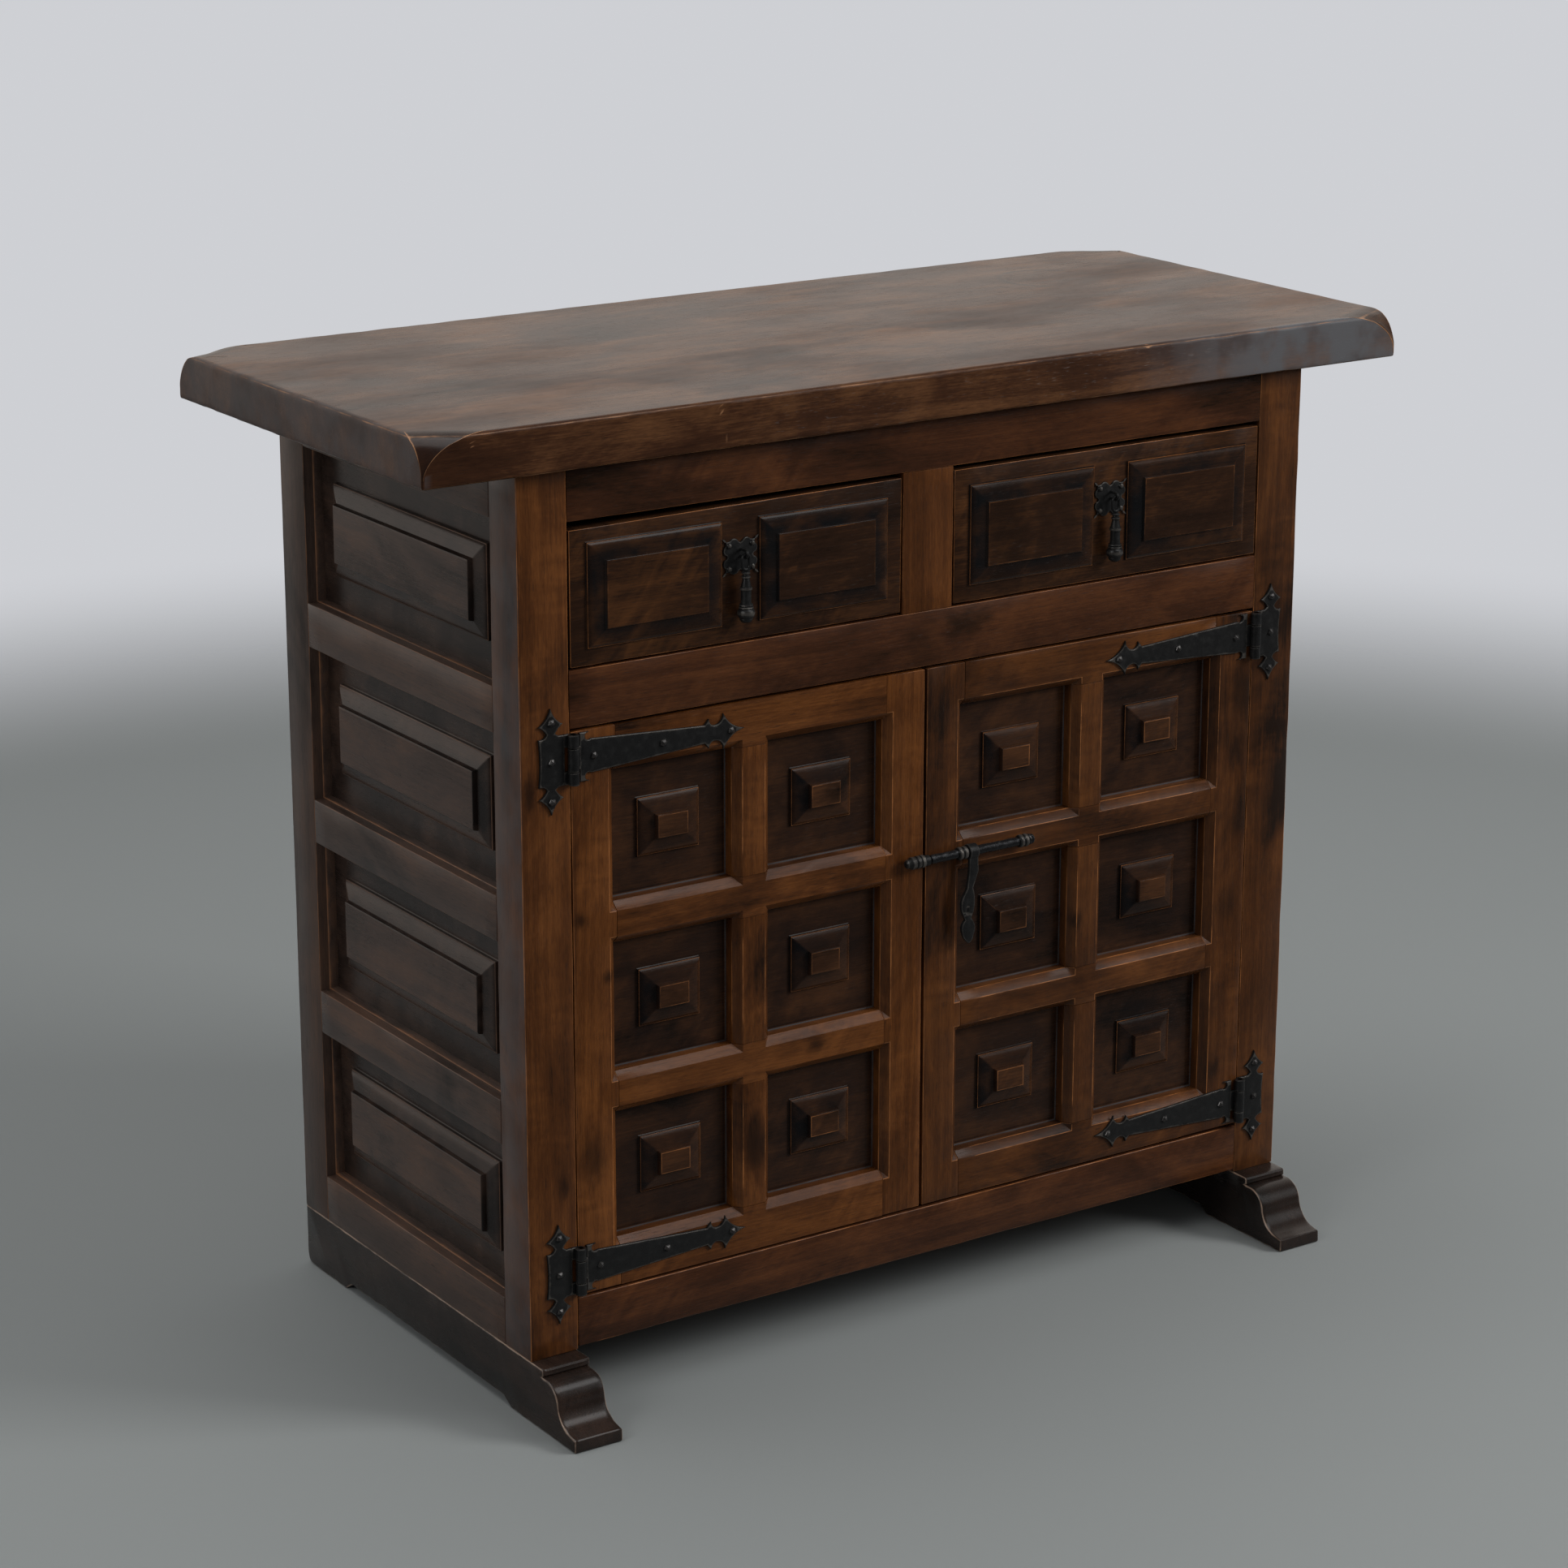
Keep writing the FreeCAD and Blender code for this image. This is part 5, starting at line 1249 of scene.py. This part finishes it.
# drawers
drawerFront = {
    "edges": {"left": (-358.25, -31.2), "right": (23.8, 358.25)}, "low": 657.6, "high": 775.1, "thick": 20.0,
    "inset": 15.5, "endInset": 14.5, "strip": 37.0, "step": 2.0, "slope": 17.5, "rise": 5.0, "rim": 0.8,
    "planed": {"left": 3.0, "right": 0.0},
    # dark: painted shade for each ring, strongest in the recess round the block, with some grime there
    "dark": (0.8, 0.85, 0.4, 0.05, 0.1, 0.15, 0.1, 0.15, 0.35, 0.5, 0.7, 0.7, 0.5)}


def makeDrawerFront(side):
    low, high = drawerFront["edges"][side]
    bottom, top, near, step = drawerFront["low"], drawerFront["high"], case["front"], drawerFront["step"]
    board = makeBoard(
        f"{side}.drawer.front", Vector((low, near, bottom)), Vector((high, near + drawerFront["thick"], top)), "x",
        soft=1.1, dent=0.7)
    for vert in board.verts:
        if vert.co.z > top - 6.0:
            vert.co.z -= drawerFront["planed"][side] * (high - vert.co.x) / (high - low)
    parts = [board]
    base = (
        (high - low - 2 * drawerFront["inset"] - drawerFront["strip"]) / 4,
        (top - bottom) / 2 - drawerFront["endInset"])
    for hand in hands.values():
        middle = (low + high) / 2 + hand * (base[0] + drawerFront["strip"] / 2)
        rings = grown(base, ((0.6, -0.1), (0.0, 0.5), (0.0, step - 0.5), (-0.4, step)))
        rings += slopeRings(base, drawerFront, drawerSlope)
        worn = {3: 1.0, len(rings) - 2: 0.55, len(rings) - 1: 0.75}
        parts.append(makeRelief(
            f"{side}.drawer.block.{-hand}", (middle, near, (bottom + top) / 2), rings, 3.0, "-y", "x", worn,
            drawerFront["dark"], 4))
    makePiece(f"{side}.drawer.front", joined(parts), "drawerWood", f"{side}_drawer", [f"{side}_drawer_front"], 30.0)


for side in hands:
    makeDrawerFront(side)
print("drawers made")


# nail heads, cut by the hammer into facets
def makeNailHead(name, centre, radius, rise, facets=5):
    dice = seeded(name, "nail")
    turn = math.radians(54.0 + dice.uniform(-14.0, 14.0))  # one facet looks up
    angles = [turn + math.tau * (index + dice.uniform(-0.18, 0.18)) / facets for index in range(facets)]
    rings = []
    for share, level, worn in ((1.0, -0.6, 0.4), (1.0, 0.12, 0.4), (0.9, 0.45, 0.4), (0.3, 1.0, 1.0)):
        reaches = [radius * share * (1.0 - 0.07 * (index % 2)) for index in range(facets)]
        rings.append([
            (Vector(centre) + Vector((math.cos(angle) * reach, -rise * level, math.sin(angle) * reach)), worn)
            for angle, reach in zip(angles, reaches)])
    mesh = stackRings(rings)
    softenEdges(mesh, 0.22, 15.0, 1)
    setGrain(mesh, "x", name)
    return mesh


# strap hinges
strapHalf = [
    (0.045, 0.5), (0.1, 0.5), (0.078, 0.37, 0.11, 0.35), (0.765, 0.19), (0.79, 0.31), (0.8, 0.2, 0.83, 0.16),
    (0.86, 0.22, 0.875, 0.375), (0.92, 0.14, 1, 0)]
leafShares = [
    (0.17, 0.262), (0.27, 0.3, 0.48, 0.345), (0.17, 0.41, 0, 0.5), (-0.17, 0.41, -0.5, 0.34),
    (-0.27, 0.3, -0.17, 0.262), (-0.26, 0.235, -0.5, 0.225), (-0.44, 0, -0.5, -0.225),
    (-0.26, -0.235, -0.17, -0.262), (-0.27, -0.3, -0.5, -0.34), (-0.17, -0.41, 0, -0.5),
    (0.17, -0.41, 0.48, -0.345), (0.27, -0.3, 0.17, -0.262), (0.3, -0.2375)]
hinge = {
    "line": 359.35, "depth": -176.1, "levels": {"lower": 131.0, "upper": 582.1}, "barrel": 4.7, "long": 43.0,
    "end": 11.2, "gap": 0.3, "thick": 2.2, "strap": (168.0, 41.4), "leaf": (19.3, 23.5, 90.5), "inner": 6.5,
    "root": 9.0, "strapNails": (20.7, 87.5, 154.3), "leafNails": (-33.5, 0.0, 33.5), "nail": (3.7, 3.2)}


def mirrorSteps(half):
    steps = list(half)
    for index in range(len(half) - 1, 0, -1):
        step, corner = half[index], half[index - 1][-2:]
        middle = (step[0], -step[1]) if len(step) == 4 else ()
        steps.append((*middle, corner[0], -corner[1]))
    return steps


def knuckleProfile(start, end, radius):
    return [
        (start, radius * 0.5, 0.0), (start, radius - 0.7, 0.6), (start + 0.5, radius, 0.9),
        (start + 2.5, radius, 0.3), (end - 2.5, radius, 0.3), (end - 0.5, radius, 0.9), (end, radius - 0.7, 0.6),
        (end, radius * 0.5, 0.0)]


def webOutline(wide, low, high):
    return outlineFrom([(0, low), (wide, low), (wide, high), (0, high)], step=2.0)


def makeHinges():
    half = hinge["long"] / 2
    middle = half - hinge["end"] - hinge["gap"]
    leaves, leafNails = [], []
    straps = {side: [] for side in hands}
    strapNails = {side: [] for side in hands}
    face = case["front"]
    centre, wide, tall = hinge["leaf"]
    for side, hand in hands.items():
        for place, level in hinge["levels"].items():
            axis = hand * hinge["line"]
            name = f"hinge.{side}.{place}"

            def onLeaf(across, up, rise):
                return Vector((axis + hand * across, face - rise, level + up))

            def onStrap(across, up, rise):
                return Vector((axis - hand * across, face - rise, level + up))

            def makeKnuckle(label, start, end):
                profile = knuckleProfile(start, end, hinge["barrel"])
                spot = (axis, hinge["depth"], level)
                return makeTurned(f"{name}.knuckle.{label}", spot, (0, 0, 1), profile, rough=0.35)

            corners = [(hinge["inner"], -half), (hinge["inner"], half), (centre - wide * 0.3, half)]
            for step in leafShares:
                corners.append(tuple(
                    centre - share * wide if index % 2 == 0 else share * tall for index, share in enumerate(step)))
            outline = outlineFrom(corners, step=1.6)
            leaves.append(makePlate(f"{name}.leaf", outline, onLeaf, hinge["thick"], 0.3, 0.25))
            for index, (start, end) in enumerate(((-half, hinge["end"] - half), (half - hinge["end"], half))):
                leaves.append(makeKnuckle(index, start, end))
                web = webOutline(hinge["inner"] + 1.5, start, end)
                leaves.append(makePlate(f"{name}.web.{index}", web, onLeaf, hinge["thick"], 0.1))
            long, high = hinge["strap"]
            outline = outlineFrom(mirrorSteps(strapHalf), long, high, 1.7)
            straps[side].append(makePlate(f"{name}.strap", outline, onStrap, hinge["thick"], 0.3, 0.25))
            straps[side].append(makeKnuckle("middle", -middle, middle))
            web = webOutline(hinge["root"], -middle, middle)
            straps[side].append(makePlate(f"{name}.strap.web", web, onStrap, hinge["thick"], 0.1))
            radius, rise = hinge["nail"]
            for index, up in enumerate(hinge["leafNails"]):
                spot = (axis + hand * centre, face - hinge["thick"], level + up)
                leafNails.append(makeNailHead(f"{name}.nail.{index}", spot, radius, rise))
            for index, across in enumerate(hinge["strapNails"]):
                spot = (axis - hand * across, face - hinge["thick"], level)
                strapNails[side].append(makeNailHead(f"{name}.strap.nail.{index}", spot, radius, rise))
    makePiece("hinge.leaves", joined(leaves), "blackIron", "case", ["hinge_jamb_leaves"], 32.0)
    makePiece("hinge.leaf.nails", joined(leafNails), "nailIron", "case", ["hinge_jamb_nails"], 12.0)
    for side in hands:
        makePiece(f"{side}.straps", joined(straps[side]), "blackIron", f"{side}_door", [f"{side}_door_straps"], 32.0)
        makePiece(f"{side}.strap.nails", joined(strapNails[side]), "nailIron", f"{side}_door",
                  [f"{side}_door_strap_nails"], 12.0)


makeHinges()
print("hinges made")


# bolt across the doors
bolt = {
    "depth": -179.0, "level": 434.0, "radius": 4.15, "bore": 4.25, "ring": 5.75, "keeper": -5.2,
    "staples": ((25.5, 35.7), (91.7, 101.9)), "bar": (-3.5, 102.3), "button": 108.2}
prong = [(0.0, 1.4, 0.0), (0.4, 1.6, 0.0), (14.6, 1.6, 0.0), (15.0, 1.2, 0.0)]


def collarProfile(start, end, radius, bore):
    # two beads side by side round a bore
    half = (end - start) / 2
    points = [(start, bore, 0.0), (start, radius - 0.9, 0.3)]
    for first in (start, start + half):
        points += [
            (first + 0.08 * half, radius - 0.45, 0.6), (first + 0.3 * half, radius, 1.0),
            (first + 0.7 * half, radius, 1.0), (first + 0.92 * half, radius - 0.45, 0.5),
            (first + half, radius - 0.95, 0.0)]
    return points + [(end, bore, 0.0)]


def makeBolt():
    spot = (0.0, bolt["depth"], bolt["level"])

    def makeProng(name, across):
        return makeTurned(name, (across, bolt["depth"] + 5.0, bolt["level"]), (0, 1, 0), prong, 10)

    keeper = [(along - bolt["keeper"], radius, worn) for along, radius, worn in (
        (0.0, bolt["bore"], 0.0), (0.0, 4.75, 0.4), (5.0, 4.85, 0.2), (5.0, 5.3, 0.4), (5.8, 5.75, 1.0),
        (8.4, 5.75, 1.0), (9.4, 5.0, 0.2), (10.2, 5.7, 0.9), (13.0, 5.75, 0.9), (14.0, 5.0, 0.2),
        (15.2, 5.6, 0.9), (18.6, 5.6, 0.9), (19.6, 4.7, 0.4), (21.4, 3.9, 0.4), (22.8, 3.8, 0.9),
        (24.0, 2.6, 0.6), (24.0, 0.4, 0.3), (17.4, 0.4, 0.0), (17.4, bolt["bore"], 0.0))]
    parts = [
        makeTurned("bolt.keeper", spot, (-1, 0, 0), keeper, 26, True, 0.12), makeProng("bolt.keeper.prong", -17.5)]
    makePiece("bolt.keeper", joined(parts), "blackIron", "left_door", ["bolt_keeper"], 28.0)
    parts = []
    for index, (first, last) in enumerate(bolt["staples"]):
        profile = collarProfile(first, last, bolt["ring"], bolt["bore"])
        parts.append(makeTurned(f"bolt.staple.{index}", spot, (1, 0, 0), profile, 26, True, 0.12))
        parts.append(makeProng(f"bolt.prong.{index}", (first + last) / 2))
    makePiece("bolt.staples", joined(parts), "blackIron", "right_door", ["bolt_staples"], 28.0)
    first, last = bolt["bar"]
    radius = bolt["radius"]
    profile = [(first, radius - 1.2, 0.2), (first + 0.7, radius - 0.15, 0.6)]
    along = first + 2.0
    while along < last - 1.0:
        profile.append((along, radius - 0.1, 0.35))
        along += 1.7
    end = bolt["button"]
    profile += [
        (last, radius - 0.05, 0.2), (last + 0.05, radius + 0.45, 0.5), (last + 0.8, radius + 0.72, 0.9),
        (last + 2.0, radius + 0.72, 0.9), (last + 2.9, radius + 0.1, 0.3), (last + 3.7, radius + 0.4, 0.7),
        (last + 4.9, radius + 0.1, 0.9), (end, radius - 1.2, 0.6)]
    makePiece("bolt.bar", makeTurned("bolt.bar", spot, (1, 0, 0), profile, 24, False, 0.28), "rubbedIron", "bolt",
              ["bolt_bar"], 28.0)


makeBolt()

# drop handle of the bolt
handleShares = [
    (0.33, 0), (0.38, -0.21), (-0.02, -0.39), (0.12, -0.52, 0.02, -0.66), (-0.13, -0.725), (0.16, -0.82, 0.04, -0.92),
    (-0.14, -0.985, -0.3, -1), (-0.62, -0.955, -0.81, -0.88), (-0.88, -0.82, -0.62, -0.735), (-0.82, -0.66),
    (-0.93, -0.56, -0.68, -0.44), (-0.5, -0.39), (-0.36, -0.21), (-0.33, 0)]
handle = {
    "size": (14.0, 83.3), "centre": 40.9, "loop": (36.1, 45.7), "bore": 4.5, "thick": 3.2, "back": -181.0,
    "hole": (-0.42, -0.63, 1.75)}


def makeHandle():
    wide, drop = handle["size"]

    def spot(across, up, rise):
        return Vector((handle["centre"] + across, handle["back"] - rise, bolt["level"] + up))

    outline = outlineFrom(handleShares, wide, drop, 1.2)
    x, z, radius = handle["hole"][0] * wide, handle["hole"][1] * drop, handle["hole"][2]
    hole = []
    for index in range(14):
        angle = -math.tau * index / 14
        stretchUp = radius if math.sin(angle) > 0 else -radius
        hole.append(Vector((x + radius * math.cos(angle) * (1.0 if stretchUp < 0 else 0.75),
                            z + radius * math.sin(angle) + stretchUp)))
    first, last = handle["loop"]
    plate = makePlate("bolt.handle", outline, spot, handle["thick"] - 0.5, 0.3, 0.45, 0.7, 2.0, [hole])
    for vert in list(plate.verts):
        here = vert.co - Vector((0.0, bolt["depth"], bolt["level"]))
        if math.hypot(here.y, here.z) < handle["bore"] + 0.3:
            out = Vector((0.0, here.y, here.z)).normalized() * (handle["bore"] + 0.3)
            vert.co = Vector((vert.co.x, bolt["depth"] + out.y, bolt["level"] + out.z))
    profile = [
        (first, handle["bore"], 0.0), (first, 6.3, 0.6), (first + 0.7, 6.85, 0.9), (first + 3.0, 6.9, 0.4),
        (last - 3.0, 6.9, 0.4), (last - 0.7, 6.85, 0.9), (last, 6.3, 0.6), (last, handle["bore"], 0.0)]
    loop = makeTurned("bolt.handle.loop", (0.0, bolt["depth"], bolt["level"]), (1, 0, 0), profile, 28, True, 0.2)
    makePiece("bolt.handle", joined([plate, loop]), "blackIron", "bolt_handle", ["bolt_handle"], 32.0)


makeHandle()
print("bolt made")


# pulls of the drawers
plateEdge = [
    (-0.4, 0.42, -0.29, 0.44), (-0.16, 0.49, -0.05, 0.4), (0, 0.37), (0.05, 0.4), (0.16, 0.49, 0.29, 0.44),
    (0.4, 0.42, 0.5, 0.5)]
pull = {
    "centres": {"left": -194.725, "right": 191.025}, "plateLevel": 729.9, "pivot": (-180.5, 732.9),
    "plate": (34.0, 31.0, 1.8), "nailInset": 5.6, "nail": (2.6, 1.9), "wire": 1.2, "eye": (9.6, 15.6, 1.3),
    "radius": 7.5, "drop": 58.3}
halfTurn = [math.radians(angle) for angle in range(0, 181, 15)]


def makePull(side):
    centre = pull["centres"][side]
    wide, tall, thick = pull["plate"]
    steps = []
    for turn in range(4):
        for step in plateEdge:
            pairs = [step[index:index + 2] for index in range(0, len(step), 2)]
            for _ in range(turn):
                pairs = [(y, -x) for x, y in pairs]
            steps.append(tuple(share for pair in pairs for share in pair))

    def spot(across, up, rise):
        return Vector((centre + across, case["front"] - rise, pull["plateLevel"] + up))

    outline = outlineFrom(steps, wide, tall, 1.1)
    plate = makePlate(f"{side}.pull.plate", outline, spot, thick - 0.35, 0.12, 0.4, 0.5, 2.0)
    makePiece(f"{side}.pull.plate", plate, "blackIron", f"{side}_drawer", [f"{side}_pull_plate"], 32.0)
    radius, rise = pull["nail"]
    nails = []
    face = case["front"] - thick
    for across in (-1, 1):
        for up in (-1, 1):
            x = centre + across * (wide / 2 - pull["nailInset"])
            z = pull["plateLevel"] + up * (tall / 2 - pull["nailInset"])
            profile = [(-0.4, radius * 0.9, 0.0), (0.1, radius, 0.3), (rise * 0.5, radius * 0.86, 0.6),
                       (rise * 0.85, radius * 0.5, 1.0), (rise, radius * 0.12, 1.0)]
            nails.append(makeTurned(f"{side}.pull.nail.{across}.{up}", (x, face, z), (0, -1, 0), profile, 12))
    makePiece(f"{side}.pull.nails", joined(nails), "blackIron", f"{side}_drawer", [f"{side}_pull_nails"], 35.0)

    depth, level = pull["pivot"]
    bend = pull["wire"] + pull["eye"][2] + 0.4
    legs = [case["front"] + 8.0 - step * 2.2 for step in range(8)]
    path = [(centre, y, level - bend) for y in legs]
    path += [(centre, depth - bend * math.sin(angle), level - bend * math.cos(angle)) for angle in halfTurn]
    path += [(centre, y, level + bend) for y in legs[::-1]]
    makePiece(f"{side}.pull.staple", makeWire(f"{side}.staple", path, pull["wire"]), "blackIron", f"{side}_drawer",
              [f"{side}_pull_staple"], 50.0)

    eyeWide, eyeTall, wire = pull["eye"]
    bend = eyeWide / 2 - wire
    top = level - bend
    foot = level + wire - eyeTall + wire + bend
    # the eye bears on the staple, so its wire is centred on the pivot at its top
    path = [(centre + bend * math.cos(angle), depth, top + bend * math.sin(angle)) for angle in halfTurn]
    path += [(centre - bend, depth, top + (foot - top) * share) for share in (0.33, 0.66)]
    path += [(centre - bend * math.cos(angle), depth, foot - bend * math.sin(angle)) for angle in halfTurn]
    path += [(centre + bend, depth, foot + (top - foot) * share) for share in (0.33, 0.66)]
    drop = [makeWire(f"{side}.eye", path, wire, True)]
    radius, long = pull["radius"], pull["drop"]
    profile = [
        (0.25, 0.05, 0.2), (0.25, 0.36, 0.3), (0.262, 0.47, 0.9), (0.278, 0.48, 0.8), (0.29, 0.34, 0.1),
        (0.305, 0.36, 0.2), (0.318, 0.5, 0.9), (0.335, 0.52, 0.9), (0.35, 0.4, 0.2), (0.39, 0.46, 0.3),
        (0.44, 0.55, 0.3), (0.468, 0.58, 0.2), (0.478, 0.68, 0.9), (0.495, 0.7, 1.0), (0.512, 0.68, 0.9),
        (0.522, 0.57, 0.2), (0.58, 0.57, 0.3), (0.66, 0.59, 0.3), (0.715, 0.61, 0.2), (0.725, 0.76, 0.8),
        (0.738, 0.79, 0.9), (0.75, 0.68, 0.2), (0.758, 0.79, 0.8), (0.772, 0.84, 1.0), (0.785, 0.76, 0.3),
        (0.80, 0.88, 0.5), (0.825, 0.975, 0.8), (0.855, 1.0, 1.0), (0.885, 0.97, 0.7), (0.91, 0.87, 0.5),
        (0.925, 0.74, 0.3), (0.94, 0.76, 0.5), (0.965, 0.68, 0.5), (0.985, 0.52, 0.3), (1.0, 0.25, 0.2)]
    drop.append(makeTurned(
        f"{side}.shaft", (centre, depth, level), (0, 0, -1),
        [(along * long, share * radius, worn) for along, share, worn in profile], 24, False, 0.16))
    makePiece(f"{side}.drop", joined(drop), "blackIron", f"{side}_drop", [f"{side}_drop"], 34.0)


for side in hands:
    makePull(side)
print("pulls made")

# the CAD pieces that stay as they are
for node, material in (("hinge_pins", "blackIron"), ("case_screws", "screwSteel")):
    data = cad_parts[node].data
    data.materials.clear()
    data.materials.append(materials[material])


# floor
def makeFloor():
    material, tree, shader = newMaterial("floor")
    rays = addNode(tree, "LightPath").outputs
    where = addNode(tree, "TexCoord").outputs["Object"]
    near = remap(addNode(tree, "SeparateXYZ", {0: where}).outputs["Y"], *room["floorDim"], 1.0, 0.0)
    fade = remap(lengthOf(where), *room["floorFade"], 1.0, 0.0)
    seen = larger(remap(lengthOf(where), *room["floorSeen"], 1.0, 0.0), take(1.0, rays["Is Camera Ray"]))
    colour = blend(times(rays["Is Glossy Ray"], near), room["floorColour"], room["floorMirrored"])
    plugIn(shader, {"Base Color": colour, "Roughness": 0.9, "Specular IOR Level": 0.15, "Alpha": times(fade, seen)})
    data = bpy.data.meshes.new("floor")
    mesh = bmesh.new()
    bmesh.ops.create_circle(mesh, cap_ends=True, segments=96, radius=room["floorRadius"])
    mesh.to_mesh(data)
    mesh.free()
    data.materials.append(material)
    floor = addObject("floor", data)


makeFloor()
print("floor made")
